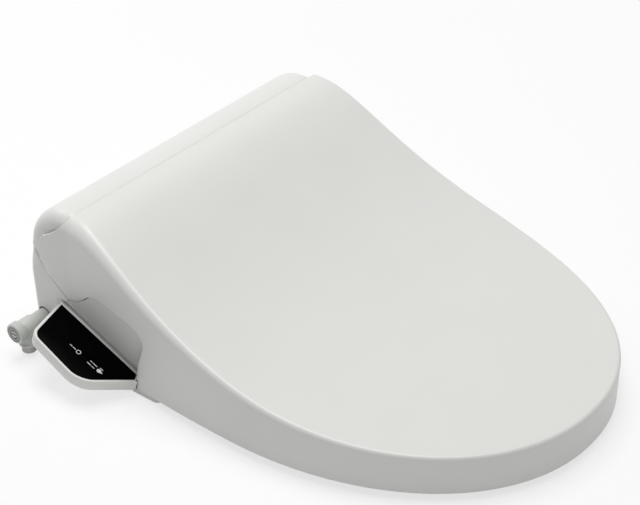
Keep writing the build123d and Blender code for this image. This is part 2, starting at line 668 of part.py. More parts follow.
ARM_ROOT_X = -HOUSING_HALF_WIDTH
ARM_OUTLINE = [(ARM_ROOT_X, 4), (-188, 3.8), (-227.4, -4.8), (-233.5, -64), (-224.5, -75), (-189.5, -97.3),
               (-189.5, -90), (ARM_ROOT_X, -90)]
ARM_CORNERS = {2: 9, 3: 10, 4: 10}
ARM_CAVITY = [(-180, -3), (-191, -3), (-222, -10), (-227, -61), (-220, -69), (-191, -86), (-180, -86)]
BOARD_WINDOW = [(-192, -6), (-218, -12), (-222, -58), (-192, -76)]
PANEL_BOARD = [(-194, -9), (-216, -14), (-220, -56), (-194, -72)]


def arm_shell():
    slab = arm_slab(ARM_OUTLINE, ARM_CORNERS, 0, ARM_COVER - ARM_THICKNESS)
    slab = slab - arm_slab(GLASS, GLASS_CORNERS, 5, -GLASS_THICKNESS)
    slab = slab - arm_slab(ARM_CAVITY, {}, -4, -20) - arm_slab(BOARD_WINDOW, {}, 0, -20)
    web = prism_yz([(4, 50), (-88, 12), (-88, 1.5), (-30, 1.5), (4, 34)], -180, ARM_ROOT_X)
    lobe = block((-188, ARM_ROOT_X), (-113, -86), (TRAY_BOTTOM_Z, 7.4))
    lobe = lobe + rod_z(-181, -113, 7, TRAY_BOTTOM_Z, 7.4)
    return slab + (web - arm_slab(ARM_OUTLINE, {}, 8, -1)) + lobe


def arm_cover():
    cover = arm_slab(ARM_OUTLINE, ARM_CORNERS, ARM_COVER - ARM_THICKNESS, -ARM_THICKNESS)
    return cover - block((-180.2, -170), (-150, 50), (-20, 100))


def control_panel():
    return arm_slab(GLASS, GLASS_CORNERS, 0.1, -GLASS_THICKNESS)


def panel_board():
    return arm_slab(PANEL_BOARD, {}, -GLASS_THICKNESS, -4)


NODES = {
    "mounting_plate": mounting_plate, "base_tray": base_tray, "rear_cover": rear_cover,
    "base_pads": base_pads, "housing_screws": housing_screws, "hinge_bushes": hinge_bushes,
    "lid_damper": lambda: damper(-1), "seat_damper": lambda: damper(1),
    "lid": lid, "lid_bumpers": lid_bumpers,
    "hinge_pin_left": lambda: hinge_pin(1), "hinge_pin_right": lambda: hinge_pin(-1),
    "seat_top": seat_top, "seat_bottom": seat_bottom, "seat_heater": seat_heater,
    "seat_bumpers": seat_bumpers, "arm_shell": arm_shell, "arm_cover": arm_cover,
    "control_panel": control_panel, "panel_board": panel_board,
    "inlet_tee": inlet_tee, "inlet_seal": inlet_seal, "filter_cap": filter_cap,
    "solenoid_valve": solenoid_valve, "feed_pump": feed_pump, "water_tank": water_tank,
    "tank_heater": tank_heater, "tank_hose": tank_hose, "diverter_valve": diverter_valve,
    "nozzle_guide": nozzle_guide,
    "rear_wand": lambda: wand(-1), "rear_wand_tip": lambda: wand_tip(-1),
    "front_wand": lambda: wand(1), "front_wand_tip": lambda: wand_tip(1),
    "rear_drive_gear": lambda: drive_gear(-1), "front_drive_gear": lambda: drive_gear(1),
    "rear_wand_motor": lambda: nozzle_motor(-1), "front_wand_motor": lambda: nozzle_motor(1),
    "blower_housing": blower_housing, "blower_wheel": blower_wheel, "blower_motor": blower_motor,
    "dryer_duct": dryer_duct, "dryer_flap": dryer_flap,
    "main_board": main_board, "power_supply": power_supply, "cord_gland": cord_gland,
    "release_button": release_button,
}


os.makedirs("parts", exist_ok=True)
for name, make in NODES.items():
    export_step(make(), f"parts/{name}.step")
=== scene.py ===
# %% [markdown]
# # An electric bidet seat, finished in Blender
#
# The construction comes in as a fixed frame: every piece at its real size, grouped in bodies that move.
# This lesson gives it its looks. The big shells are modelled again with the rounded edges that an
# injection mould leaves, small repeated pieces come from Geometry Nodes, and every surface gets a
# procedural finish. Sizes are written in millimetres and turned to metres once, when a mesh is made.

# %% Load the frame
import json
import math

import bmesh
import bpy
import numpy as np
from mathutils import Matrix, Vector


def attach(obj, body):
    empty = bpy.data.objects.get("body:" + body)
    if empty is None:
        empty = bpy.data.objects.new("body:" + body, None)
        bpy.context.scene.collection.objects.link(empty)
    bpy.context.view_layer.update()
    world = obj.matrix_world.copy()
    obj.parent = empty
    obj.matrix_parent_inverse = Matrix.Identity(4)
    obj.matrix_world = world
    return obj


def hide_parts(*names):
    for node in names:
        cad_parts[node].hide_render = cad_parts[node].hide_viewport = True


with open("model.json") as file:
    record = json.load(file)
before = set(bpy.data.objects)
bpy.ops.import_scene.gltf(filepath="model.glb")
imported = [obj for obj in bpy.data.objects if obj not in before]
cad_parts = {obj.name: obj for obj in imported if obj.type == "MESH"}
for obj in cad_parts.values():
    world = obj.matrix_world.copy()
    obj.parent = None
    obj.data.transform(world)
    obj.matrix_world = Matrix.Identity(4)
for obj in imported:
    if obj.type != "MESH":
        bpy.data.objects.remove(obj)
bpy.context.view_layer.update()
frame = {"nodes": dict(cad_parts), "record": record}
MM = 0.001

# %% [markdown]
# ## Colours and nodes
#
# Colours are written as the sRGB hex values a designer would pick, but Blender's shaders count light
# in linear units. One function turns the first into the second. Two more feed a node's inputs and add
# a node, so that a material reads as a short list.

# %% Helpers for materials
def linear(hex_colour):
    """An sRGB hex colour as linear RGBA."""
    parts = [int(hex_colour[i:i + 2], 16) / 255 for i in (1, 3, 5)]
    return [c / 12.92 if c <= 0.04045 else ((c + 0.055) / 1.055) ** 2.4 for c in parts] + [1.0]


def feed(tree, made, **inputs):
    """Feeds a node's inputs, each with a value or another node's socket; _0 is the first input."""
    for name, value in inputs.items():
        key = int(name[1:]) if name[0] == "_" else name.replace("_", " ")
        if isinstance(value, bpy.types.NodeSocket):
            tree.links.new(value, made.inputs[key])
        else:
            made.inputs[key].default_value = value


def node(tree, kind, settings=None, **inputs):
    """Adds a node with its own settings and feeds its inputs."""
    made = tree.nodes.new(kind)
    for name, value in (settings or {}).items():
        setattr(made, name, value)
    feed(tree, made, **inputs)
    return made


def new_material(name):
    """An empty material: its tree, its Principled shader and its Object coordinates."""
    material = bpy.data.materials.new(name)
    material.use_nodes = True
    tree = material.node_tree
    shader = tree.nodes["Principled BSDF"]
    place = node(tree, "ShaderNodeTexCoord").outputs["Object"]
    return material, tree, shader, place


def per_metre(size_mm):
    """Texture scale for a pattern whose features are about this many millimetres."""
    return 1 / (size_mm * MM)


# %% [markdown]
# ## Moulded plastics
#
# Nearly everything here is injection-moulded. A polished mould leaves a satin gloss with a faint
# ripple, called orange peel, that softens every reflection; a textured mould leaves a fine grain.
# Both are the same recipe: a colour that drifts by a shade, a roughness that drifts with it, and a
# shallow bump. Real orange peel is about 2 mm wide, which is what the ripple is scaled from. The
# Bevel node breaks the sharp edges of the carried-over pieces, as a mould's own edges do.

# %% Moulded plastic finishes
SHADE_PATCH_MM = 60.0
GLOSS_DRIFT = 0.03
SOFT_EDGE_MM = 0.5


def moulded(name, light, dark, roughness, ripple_mm, ripple_depth_mm, ior=1.5):
    """A moulded plastic: two close shades, a roughness and a ripple of a given width and depth."""
    material, tree, shader, place = new_material(name)
    drift = node(tree, "ShaderNodeTexNoise", Vector=place, Scale=per_metre(SHADE_PATCH_MM), Detail=2.0)
    shade = node(tree, "ShaderNodeMix", {"data_type": "RGBA"}, Factor=drift.outputs["Fac"],
                 _6=linear(light), _7=linear(dark))
    grain = node(tree, "ShaderNodeTexNoise", Vector=place, Scale=per_metre(ripple_mm), Detail=3.0)
    gloss = node(tree, "ShaderNodeMapRange", Value=grain.outputs["Fac"], To_Min=roughness - GLOSS_DRIFT,
                 To_Max=roughness + GLOSS_DRIFT)
    edge = node(tree, "ShaderNodeBevel", {"samples": 4}, Radius=SOFT_EDGE_MM * MM)
    bump = node(tree, "ShaderNodeBump", Height=grain.outputs["Fac"], Distance=ripple_depth_mm * MM,
                Strength=0.6, Normal=edge.outputs["Normal"])
    feed(tree, shader, Base_Color=shade.outputs[2], Roughness=gloss.outputs["Result"],
         Normal=bump.outputs["Normal"], IOR=ior)
    return material


# Polypropylene from a polished mould: white with a soft, wide highlight
WHITE_SHELL = moulded("white_polypropylene_satin", "#dcdcd9", "#d8d8d5", 0.36, 2.0, 0.02)
# The same resin inside, from an unpolished mould: a duller white
WHITE_INNER = moulded("white_polypropylene_matt", "#d6d6d2", "#d0d0cc", 0.55, 1.2, 0.03)
# Acetal of the water fittings: a cool light grey, waxy rather than glossy
GREY_ACETAL = moulded("grey_acetal_moulded", "#c6c8c4", "#bcbeba", 0.46, 1.5, 0.03, ior=1.48)
# Polycarbonate of the wands: clean white with a tighter highlight
WAND_PLASTIC = moulded("wand_polycarbonate_gloss", "#e2e4e6", "#dcdee0", 0.22, 2.5, 0.01, ior=1.58)
# Nylon of the pinions: slightly yellow and matt
GEAR_NYLON = moulded("gear_nylon_natural", "#e0dac4", "#d4cdb4", 0.5, 1.0, 0.03, ior=1.53)
# Glass-filled inner parts: dark grey with a visible grain
INNER_PLASTIC = moulded("inner_nylon_glass_filled", "#5d6064", "#4c4f53", 0.6, 0.8, 0.06, ior=1.53)
# Elastomer feet: matt light grey that shows no sharp reflection
RUBBER = moulded("elastomer_pad_matt", "#9fa1a0", "#909291", 0.75, 0.8, 0.05, ior=1.52)
print("plastics:", [m.name for m in bpy.data.materials if m.users == 0])

# %% [markdown]
# ## Glass, metal, foil and board
#
# The touch panel is tinted glass over black print: almost no light comes back from below, so it reads as
# black with a clear, weak reflection of the room. The steel of pins and screws is brushed along one axis,
# which is a noise stretched along it. The heating foil shows its conductor as fine bands, and the circuit
# boards show tracks as a fine cell pattern under green solder mask.

# %% Panel and metal finishes
def even_finish(name, colour, roughness, metallic=0.0, ior=1.5, specular=0.5):
    """A finish with its values on the shader's own sockets, and the tree for what is added to it."""
    material, tree, shader, place = new_material(name)
    feed(tree, shader, Base_Color=linear(colour), Roughness=roughness, Metallic=metallic, IOR=ior,
         Specular_IOR_Level=specular)
    return material, tree, shader, place


def uneven(tree, shader, place, size_mm, low, high, stretch=(1, 1, 1)):
    """Lets the roughness drift between two values over patches of a size, stretched along an axis."""
    squeezed = node(tree, "ShaderNodeMapping", Vector=place, Scale=stretch)
    drift = node(tree, "ShaderNodeTexNoise", Vector=squeezed.outputs[0], Scale=per_metre(size_mm), Detail=3.0)
    rough = node(tree, "ShaderNodeMapRange", Value=drift.outputs["Fac"], To_Min=low, To_Max=high)
    feed(tree, shader, Roughness=rough.outputs["Result"])


# Tinted glass over black print, with an anti-glare coating: near black, with a weak, clear reflection
BLACK_GLASS, *parts = even_finish("panel_glass_black_printed", "#030304", 0.16, ior=1.52, specular=0.02)
uneven(*parts, size_mm=12.0, low=0.13, high=0.2)
# White ceramic ink fired on the glass: a flat white without a clear reflection
PRINT_WHITE, *parts = even_finish("panel_print_white_ink", "#cfcfcd", 0.5)
uneven(*parts, size_mm=0.5, low=0.45, high=0.6)
# Stainless steel brushed along X: grey metal with fine streaks
STEEL, *parts = even_finish("stainless_steel_brushed", "#b9bbbd", 0.32, metallic=1.0)
uneven(*parts, size_mm=0.4, low=0.24, high=0.4, stretch=(0.05, 1, 1))
print("panel and metal:", BLACK_GLASS.name, PRINT_WHITE.name, STEEL.name)

# %% Foil, board and foam finishes
# Aluminium foil with an etched conductor: silver with warm bands. A wave repeats every 0.314 of its unit.
BAND_MM = 12.56
WAVE_REPEAT = 0.314
HEATER_FOIL, tree, shader, place = even_finish("heater_foil_aluminium_etched", "#c4c4c2", 0.35, metallic=1.0)
bands = node(tree, "ShaderNodeTexWave", {"wave_type": "RINGS", "rings_direction": "Z"}, Vector=place,
             Scale=per_metre(BAND_MM / WAVE_REPEAT), Distortion=0.4)
tint = node(tree, "ShaderNodeMix", {"data_type": "RGBA"}, Factor=bands.outputs["Fac"],
            _6=linear("#c8c8c6"), _7=linear("#8f7f6a"))
feed(tree, shader, Base_Color=tint.outputs[2])
# Glass-fibre board under solder mask: dark green with paler tracks, drawn coarser than real, to show
TRACK_MM = 2.5
CIRCUIT_BOARD, tree, shader, place = even_finish("circuit_board_solder_mask", "#14532d", 0.4)
tracks = node(tree, "ShaderNodeTexVoronoi", {"feature": "DISTANCE_TO_EDGE"}, Vector=place,
              Scale=per_metre(TRACK_MM))
line = node(tree, "ShaderNodeMapRange", Value=tracks.outputs["Distance"], From_Max=0.08, To_Min=1.0,
            To_Max=0.0)
green = node(tree, "ShaderNodeMix", {"data_type": "RGBA"}, Factor=line.outputs["Result"],
             _6=linear("#14532d"), _7=linear("#2f7a45"))
feed(tree, shader, Base_Color=green.outputs[2])
# Skinned foam of the ring's underside: matt white with fine pores
FOAM = moulded("polyurethane_foam_skinned", "#d2d2cd", "#c8c8c3", 0.8, 1.0, 0.08)
FINISHES = {"white_shell": WHITE_SHELL, "foam_core": FOAM, "white_inner": WHITE_INNER,
            "black_glass": BLACK_GLASS, "grey_plastic": GREY_ACETAL, "rubber": RUBBER,
            "wand_plastic": WAND_PLASTIC, "gear_nylon": GEAR_NYLON, "inner_plastic": INNER_PLASTIC,
            "steel": STEEL, "heater_foil": HEATER_FOIL, "circuit_board": CIRCUIT_BOARD}
print("finishes:", len(FINISHES))

# %% [markdown]
# ## From points to pieces
#
# A shell is easiest to control as a grid: rows of points along the piece, each row the same length.
# The helpers below turn such a grid into a mesh, merge the places where rows meet in a point, and
# settle the finished mesh as a plain object at the origin that rides on its body.

# %% Helpers for meshes
SIDES = (-1, 1)
QUARTER = math.pi / 2


def spline(points, count):
    """Points along a smooth natural cubic curve through the given ones."""
    p = np.array(points, float)
    steps = np.linalg.norm(np.diff(p, axis=0), axis=1)
    t = np.concatenate([[0.0], np.cumsum(steps)])
    system = np.eye(len(p))
    bend = np.zeros_like(p)
    for i in range(1, len(p) - 1):
        system[i, i - 1:i + 2] = steps[i - 1], 2 * (steps[i - 1] + steps[i]), steps[i]
        bend[i] = 6 * ((p[i + 1] - p[i]) / steps[i] - (p[i] - p[i - 1]) / steps[i - 1])
    bend = np.linalg.solve(system, bend)
    at = np.linspace(0, t[-1], count)
    k = np.clip(np.searchsorted(t, at, side="right") - 1, 0, len(p) - 2)
    h = steps[k][:, None]
    b = ((at - t[k]) / steps[k])[:, None]
    a = 1 - b
    return a * p[k] + b * p[k + 1] + ((a ** 3 - a) * bend[k] + (b ** 3 - b) * bend[k + 1]) * h ** 2 / 6


def arc(centre, radius, start, end, count):
    """Points on a circle, from one angle to another."""
    return [(centre[0] + radius * math.cos(a), centre[1] + radius * math.sin(a))
            for a in np.linspace(start, end, count)]


def grid_faces(rows, columns, close_rows=False, close_columns=False):
    """Faces of a grid whose point (r, c) has the number r * columns + c."""
    faces = []
    for r in range(rows if close_rows else rows - 1):
        for c in range(columns if close_columns else columns - 1):
            r2 = (r + 1) % rows
            c2 = (c + 1) % columns
            faces.append((r * columns + c, r * columns + c2, r2 * columns + c2, r2 * columns + c))
    return faces


def mesh_of(name, points_mm, faces, merge_mm=0.02):
    """A mesh from millimetre points, with doubles merged and its faces turned outwards."""
    mesh = bpy.data.meshes.new(name)
    mesh.from_pydata([Vector(p) * MM for p in np.asarray(points_mm, float)], [], faces)
    shape = bmesh.new()
    shape.from_mesh(mesh)
    bmesh.ops.remove_doubles(shape, verts=shape.verts, dist=merge_mm * MM)
    bmesh.ops.dissolve_degenerate(shape, edges=shape.edges, dist=merge_mm * MM / 4)
    bmesh.ops.recalc_face_normals(shape, faces=shape.faces)
    shape.to_mesh(mesh)
    shape.free()
    return mesh


# %% Helpers for pieces
def draft(name, mesh):
    """A working object for a mesh, before its modifiers are applied."""
    made = bpy.data.objects.new(name, mesh)
    bpy.context.scene.collection.objects.link(made)
    return made


def modifier(piece, kind, **settings):
    """Adds a modifier with its settings."""
    made = piece.modifiers.new(kind.lower(), kind)
    for name, value in settings.items():
        setattr(made, name, value)


def applied(piece):
    """The piece's evaluated shape as a plain mesh, with its modifiers gone."""
    view = bpy.context.evaluated_depsgraph_get()
    mesh = bpy.data.meshes.new_from_object(piece.evaluated_get(view))
    piece.modifiers.clear()
    piece.data = mesh
    return piece


def joined(name, pieces):
    """Several plain mesh objects as one."""
    shape = bmesh.new()
    for piece in pieces:
        shape.from_mesh(piece.data)
        bpy.data.objects.remove(piece)
    mesh = bpy.data.meshes.new(name)
    shape.to_mesh(mesh)
    shape.free()
    return draft(name, mesh)


def dress(piece, material, sharp_deg):
    """Gives a piece one finish and smooth shading, with edges kept sharp past an angle."""
    piece.data.materials.clear()
    piece.data.materials.append(material)
    piece.data.polygons.foreach_set("material_index", [0] * len(piece.data.polygons))
    piece.data.shade_smooth()
    piece.data.set_sharp_from_angle(angle=math.radians(sharp_deg))


def settle(piece, body, slot, *nodes, material=None, sharp_deg=35.0):
    """Gives a finished piece its finish and its body, and hides the nodes that it stands for."""
    dress(piece, material or FINISHES[slot], sharp_deg)
    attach(piece, body)
    if nodes:
        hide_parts(*nodes)
    print(piece.name, "faces:", len(piece.data.polygons), "on", body, "for", nodes)


# %% [markdown]
# A moulding is a skin with a wall behind it and a rim with soft corners. Solidify and Bevel can make
# both, but on a rim with tight corners they leave spikes. So the wall is made here directly: the skin is
# copied inwards along its normals, and each open edge gets a strip of faces that rolls from one side to
# the other with two small quarter rounds. Where cells are small the rounds shrink to fit them.

# %% A skin becomes a moulding
ROOM_SHARE = 0.6


def thick_shell(mesh, wall_mm, rim_mm, corner_steps=3):
    """A closed moulding from an open skin: the skin, its inner copy and a round-cornered rim."""
    shape = bmesh.new()
    shape.from_mesh(mesh)
    shape.normal_update()
    shape.verts.index_update()
    place = np.array([v.co for v in shape.verts])
    normal = np.array([v.normal for v in shape.verts])
    inland = {v.index: [np.array(e.other_vert(v).co) for e in v.link_edges if not e.is_boundary]
              for v in shape.verts if v.is_boundary}
    follows = {}
    for edge in shape.edges:
        if edge.is_boundary:
            corner = edge.link_loops[0]
            follows[corner.vert.index] = corner.link_loop_next.vert.index
    faces = [[v.index for v in f.verts] for f in shape.faces]
    shape.free()
    count = len(place)
    points = np.concatenate([place, place - normal * wall_mm * MM])
    faces += [[i + count for i in reversed(f)] for f in faces]
    turn = np.linspace(0, QUARTER, corner_steps + 1)
    depth = [(0, 1 - math.cos(t), math.sin(t) - 1) for t in turn]
    depth += [(1, math.cos(t) - 1, math.sin(t) - 1) for t in turn[::-1]]
    while follows:
        ring = [next(iter(follows))]
        while ring[-1] in follows:
            ring.append(follows.pop(ring[-1]))
        ring = np.array(ring[:-1])
        ahead = place[np.roll(ring, -1)] - place[ring]
        ahead /= np.linalg.norm(ahead, axis=1)[:, None]
        tangent = ahead + np.roll(ahead, 1, axis=0)
        tangent /= np.linalg.norm(tangent, axis=1)[:, None]
        outwards = np.cross(tangent, normal[ring])
        room = [min([np.linalg.norm(np.cross(p - place[i], t)) for p in inland[i]], default=0.0)
                for i, t in zip(ring, tangent)]
        size = np.minimum(rim_mm * MM, ROOM_SHARE * np.array(room))[:, None]
        rows = []
        for level, inwards, reach in depth:
            sunk = level * wall_mm * MM + inwards * size
            rows.append(place[ring] - normal[ring] * sunk + outwards * reach * size)
        points[ring] = rows[0]
        points[ring + count] = rows[-1]
        first = len(points)
        points = np.concatenate([points, *rows[1:-1]])
        strips = [first + k * len(ring) + np.arange(len(ring)) for k in range(len(rows) - 2)]
        numbers = [ring, *strips, ring + count]
        for a, b in zip(numbers, numbers[1:]):
            for i in range(len(ring)):
                j = (i + 1) % len(ring)
                faces.append((a[j], a[i], b[i], b[j]))
    made = bpy.data.meshes.new(mesh.name)
    made.from_pydata(points.tolist(), [], faces)
    return made


# %% [markdown]
# ## The lid: a rule for its shape
#
# The lid is one thin moulding. From above it is a half super-ellipse in front of its widest line and
# gently drawn-in sides behind it. From the side, its crown sweeps up to the hinge. Its upper edge is
# tight at the front and grows rounder towards the rear, more so on the control arm's side. It could be
# carved by subdivision, but all of that is a rule, so the grid is worked out from the rule: the sides are
# read as a depth over the side view, which lets their lower edge follow any outline, and the front is a
# row of upright profiles.

# %% The lid's outline, crown and edge radius
LID_WIDEST_Y = -205.0
LID_HALF_WIDTH = 192.5
LID_REAR_HALF_WIDTH = 181.0
LID_SEAM_Y = -10.9
LID_FRONT_LENGTH = 259.5
LID_ROUNDNESS = 2.1
LID_BOTTOM_Z = 8.0
LID_WALL = 3.0
HINGE_Y = 2.0
HINGE_Z = 106.0
CROWN = spline([(-480, 47.5), (-345, 50), (-265, 58.5), (-195, 74.5), (-145, 93), (-92, 120),
                (-50, 143.5), (-28, 152), (LID_SEAM_Y, 154.3)], 400)


def crown_z(y):
    """Height of the lid's crown at a distance y."""
    return np.interp(y, CROWN[:, 0], CROWN[:, 1])


FRONT_EDGE_R = 3.2
EDGE_GROWTH_Y = -15.0
EDGE_GROWTH_LENGTH = 110.0
ARM_EDGE_GROWTH = 12.0
PLAIN_EDGE_GROWTH = 4.5


def edge_radius(y, growth):
    """Radius of the lid's upper edge: tight in front, larger by the whole growth at EDGE_GROWTH_Y."""
    behind = np.minimum(y, LID_SEAM_Y) - EDGE_GROWTH_Y
    return FRONT_EDGE_R + growth * np.exp(behind / EDGE_GROWTH_LENGTH)


def side_half_width(y):
    """Half width of the lid behind its widest line."""
    rise = np.clip((y - LID_WIDEST_Y) / (LID_SEAM_Y - LID_WIDEST_Y), 0, 1)
    return LID_HALF_WIDTH - (LID_HALF_WIDTH - LID_REAR_HALF_WIDTH) * rise ** 2


print("lid crown:", crown_z(LID_SEAM_Y), "at the seam,", round(crown_z(LID_WIDEST_Y), 1), "at its widest")

# %% [markdown]
# The lower edge of each side is drawn in the side view, from the front to the hinge: along the skirt,
# over the arch that clears the control arm, then round the tongue that holds the hinge pin. Each corner
# of that path is tied to a place on the crown, so that the columns of the grid fan out between the two
# without crossing. A column leaves its edge nearly square and bends upright later, which keeps the cells
# by the edge wide enough for a rim.

# %% The lid's lower edges
TONGUE_R = 28.0
HEEL = (-3.3, 64.4)
TIP_LOW = (25.9, 91.5)
TIP_HIGH = (22.0, 125.4)
SKIRT_START = (LID_WIDEST_Y, LID_BOTTOM_Z)
ARCH_FOOT = (-94.2, LID_BOTTOM_Z)
ARCH_BEND = (-100, 74.6)
PLAIN_FOOT = (-12.7, LID_BOTTOM_Z)
# The places on the crown that the edges' corners are tied to
FOOT_TIE = -150.0
BEND_TIE = -104.0
PLAIN_TIE = -50.0
HEEL_TIE = -38.0
TIP_TIE = -27.0
low, high = [math.atan2(z - HINGE_Z, y - HINGE_Y) for y, z in (TIP_LOW, TIP_HIGH)]
tongue_end = arc((HINGE_Y, HINGE_Z), TONGUE_R, low, high, 24)
TONGUE = [([HEEL, (12.0, 77.6), (20.3, 84.8), (23.4, 88.0), TIP_LOW], TIP_TIE), (tongue_end, LID_SEAM_Y)]
ARCH = spline([ARCH_FOOT, (-97, 33), (-105, 55), (-107, 66), ARCH_BEND, (-72, 82), (-43, 84.5), (-32, 80),
               (-22, 71.8), (-12, 66.7), HEEL], 160)
ARCH_TURN = int(np.argmin(np.linalg.norm(ARCH - ARCH_BEND, axis=1)))
ARM_SIDE = [([SKIRT_START, ARCH_FOOT], FOOT_TIE), (ARCH[:ARCH_TURN + 1], BEND_TIE),
            (ARCH[ARCH_TURN:], HEEL_TIE), *TONGUE]
PLAIN_SIDE = [([SKIRT_START, PLAIN_FOOT], PLAIN_TIE), ([PLAIN_FOOT, HEEL], HEEL_TIE), *TONGUE]


def along(points, share):
    """The point at a share of a path's length."""
    p = np.array(points, float)
    run = np.concatenate([[0.0], np.cumsum(np.linalg.norm(np.diff(p, axis=0), axis=1))])
    return [np.interp(share * run[-1], run, p[:, i]) for i in (0, 1)]


def lower_edge(stretches, top_y):
    """Where the grid column that ends at top_y on the crown starts on the lower edge."""
    start = LID_WIDEST_Y
    for points, end in stretches:
        if top_y <= end:
            return along(points, (top_y - start) / (end - start))
        start = end
    return along(stretches[-1][0], 1.0)


print("lower edges:", len(ARM_SIDE), "and", len(PLAIN_SIDE), "stretches")

# %% Columns of the lid's grid
WALL_STEPS = 16
EDGE_STEPS = 20
ACROSS_STEPS = 24


def side_column(stretches, top_y, growth):
    """One column of a side: up the wall from its lower edge and round the upper edge."""
    foot_y, foot_z = lower_edge(stretches, top_y)
    foot_radius = edge_radius(foot_y, growth)
    start = foot_z - (crown_z(foot_y) - foot_radius)
    if start > 0:
        start = foot_radius * math.asin(min(start / foot_radius, 1.0))
    end = edge_radius(top_y, growth) * QUARTER
    bend = max(0.0, start + (end - start) * WALL_STEPS / (WALL_STEPS + EDGE_STEPS))
    wall = np.linspace(start, bend, WALL_STEPS + 1)
    run = np.concatenate([wall, np.linspace(bend, end, EDGE_STEPS + 1)[1:]])
    y = top_y + (foot_y - top_y) * (1 - (run - start) / (end - start)) ** 2
    radius = edge_radius(y, growth)
    turn = np.clip(run / end, 0, 1) * QUARTER
    z = crown_z(y) - radius + np.where(run < 0, run, radius * np.sin(turn))
    x = side_half_width(y) - radius * (1 - np.cos(turn))
    return np.stack([x, y, z], axis=1)


def front_column(turn_deg, growth):
    """One column of the front: straight up, then round the upper edge along the outline's normal."""
    t = math.radians(turn_deg)
    power = 2 / LID_ROUNDNESS
    x = LID_HALF_WIDTH * math.cos(t) ** power
    y = LID_WIDEST_Y - LID_FRONT_LENGTH * math.sin(t) ** power
    lean_x = (x / LID_HALF_WIDTH) ** (LID_ROUNDNESS - 1) / LID_HALF_WIDTH
    lean_y = -((LID_WIDEST_Y - y) / LID_FRONT_LENGTH) ** (LID_ROUNDNESS - 1) / LID_FRONT_LENGTH
    outwards = np.array([lean_x, lean_y]) / math.hypot(lean_x, lean_y)
    radius = edge_radius(y, growth)
    wall_top = crown_z(y) - radius
    turns = np.linspace(0, QUARTER, EDGE_STEPS + 1)[1:]
    inset = np.concatenate([np.zeros(WALL_STEPS + 1), radius * (1 - np.cos(turns))])
    px, py = x - outwards[0] * inset, y - outwards[1] * inset
    wall = np.linspace(LID_BOTTOM_Z, wall_top, WALL_STEPS + 1)
    rise = np.concatenate([wall, wall_top + radius * np.sin(turns)])
    return np.stack([px, py, rise + np.where(inset > 0, crown_z(py) - crown_z(y), 0)], axis=1)


print("columns:", WALL_STEPS + EDGE_STEPS + 1, "points each")

# %% The lid's grid
# The front's rows widen a little towards its tip; the last turn stops just short of the middle line
FRONT_ROWS = 76
TIP_SPREAD = 0.9
LAST_TURN = 89.9999
corners = [end for points, end in ARM_SIDE + PLAIN_SIDE]
spread = [np.linspace(LID_WIDEST_Y, FOOT_TIE, 24), np.linspace(FOOT_TIE, LID_SEAM_Y, 130), corners]
rows = [(side_column(ARM_SIDE, y, ARM_EDGE_GROWTH), side_column(PLAIN_SIDE, y, PLAIN_EDGE_GROWTH))
        for y in np.unique(np.concatenate(spread))[::-1]]
mean_growth = (ARM_EDGE_GROWTH + PLAIN_EDGE_GROWTH) / 2
for k in range(1, FRONT_ROWS + 1):
    turn = LAST_TURN * (1 - (1 - k / FRONT_ROWS) ** TIP_SPREAD)
    apart = (ARM_EDGE_GROWTH - mean_growth) * math.cos(math.radians(turn))
    rows.append((front_column(turn, mean_growth + apart), front_column(turn, mean_growth - apart)))
points = []
for arm_side, plain_side in rows:
    arm_side = arm_side * (-1, 1, 1)
    across = np.linspace(arm_side[-1], plain_side[-1], ACROSS_STEPS + 1)[1:-1]
    points += [*arm_side, *across, *plain_side[::-1]]
columns = 2 * (WALL_STEPS + EDGE_STEPS + 1) + ACROSS_STEPS - 1
lid = draft("lid_shell", mesh_of("lid_shell", points, grid_faces(len(rows), columns)))
print("lid grid:", len(rows), "rows of", columns)

# %% [markdown]
# The grid gets its wall, inwards, and a rim along the skirt, the arch and the seam. The two bosses that
# hold the hinge pins are lathed rings on the inside of the tongues: an outline turned about the hinge.

# %% The lid's wall, rim and bosses
RIM_ROUND = 0.6
PIN_BORE_R = 6.05
BOSS_R = 11.0
BOSS_OVERLAP = 0.2
BOSS_X = (176.3, LID_REAR_HALF_WIDTH - LID_WALL + BOSS_OVERLAP)


def on_side(side, limits):
    """A pair of limits along X on one side, the smaller first."""
    return sorted(side * x for x in limits)


def ring_outline(low, high, radius, edge, bore=0.0, count=5):
    """Outline of a disc or ring as (place along its axis, radius), with round outer edges."""
    return [(low, bore), *arc((low + edge, radius - edge), edge, math.pi, QUARTER, count),
            *arc((high - edge, radius - edge), edge, QUARTER, 0, count), (high, bore)]


def lathe(name, outline, centre, axis="x", steps=64, bored=False):
    """Turns an outline of (place, radius) about an axis; a bored one gets a wall in its bore."""
    points = []
    for a in np.linspace(0, 2 * math.pi, steps, endpoint=False):
        for place, radius in outline:
            u, v = radius * math.cos(a), radius * math.sin(a)
            offset = (place, u, v) if axis == "x" else (u, v, place)
            points.append(np.add(centre, offset))
    faces = grid_faces(steps, len(outline), close_rows=True, close_columns=bored)
    return draft(name, mesh_of(name, points, faces))


lid.data = thick_shell(lid.data, LID_WALL, RIM_ROUND)
bosses = []
for side in SIDES:
    boss = ring_outline(*on_side(side, BOSS_X), BOSS_R, RIM_ROUND, PIN_BORE_R)
    bosses.append(lathe("boss", boss, (0, HINGE_Y, HINGE_Z), steps=48, bored=True))
settle(joined("lid_shell", [lid, *bosses]), "lid", "white_shell", "lid")

# %% [markdown]
# ## The rear housing
#
# The cover is a long loaf: one side outline carried straight across, with ends that roll over in a wide
# round. A grid fits that again: its rows follow the outline and its columns run across. Openings could be
# left out of the grid, but they would spoil its even cells. The Boolean modifier cuts them afterwards
# instead, with plain blocks and rods in the shape of what has to pass: the seat's arms, the wands, the
# hinge bushes, the inlet pipe, the cord and the release button.

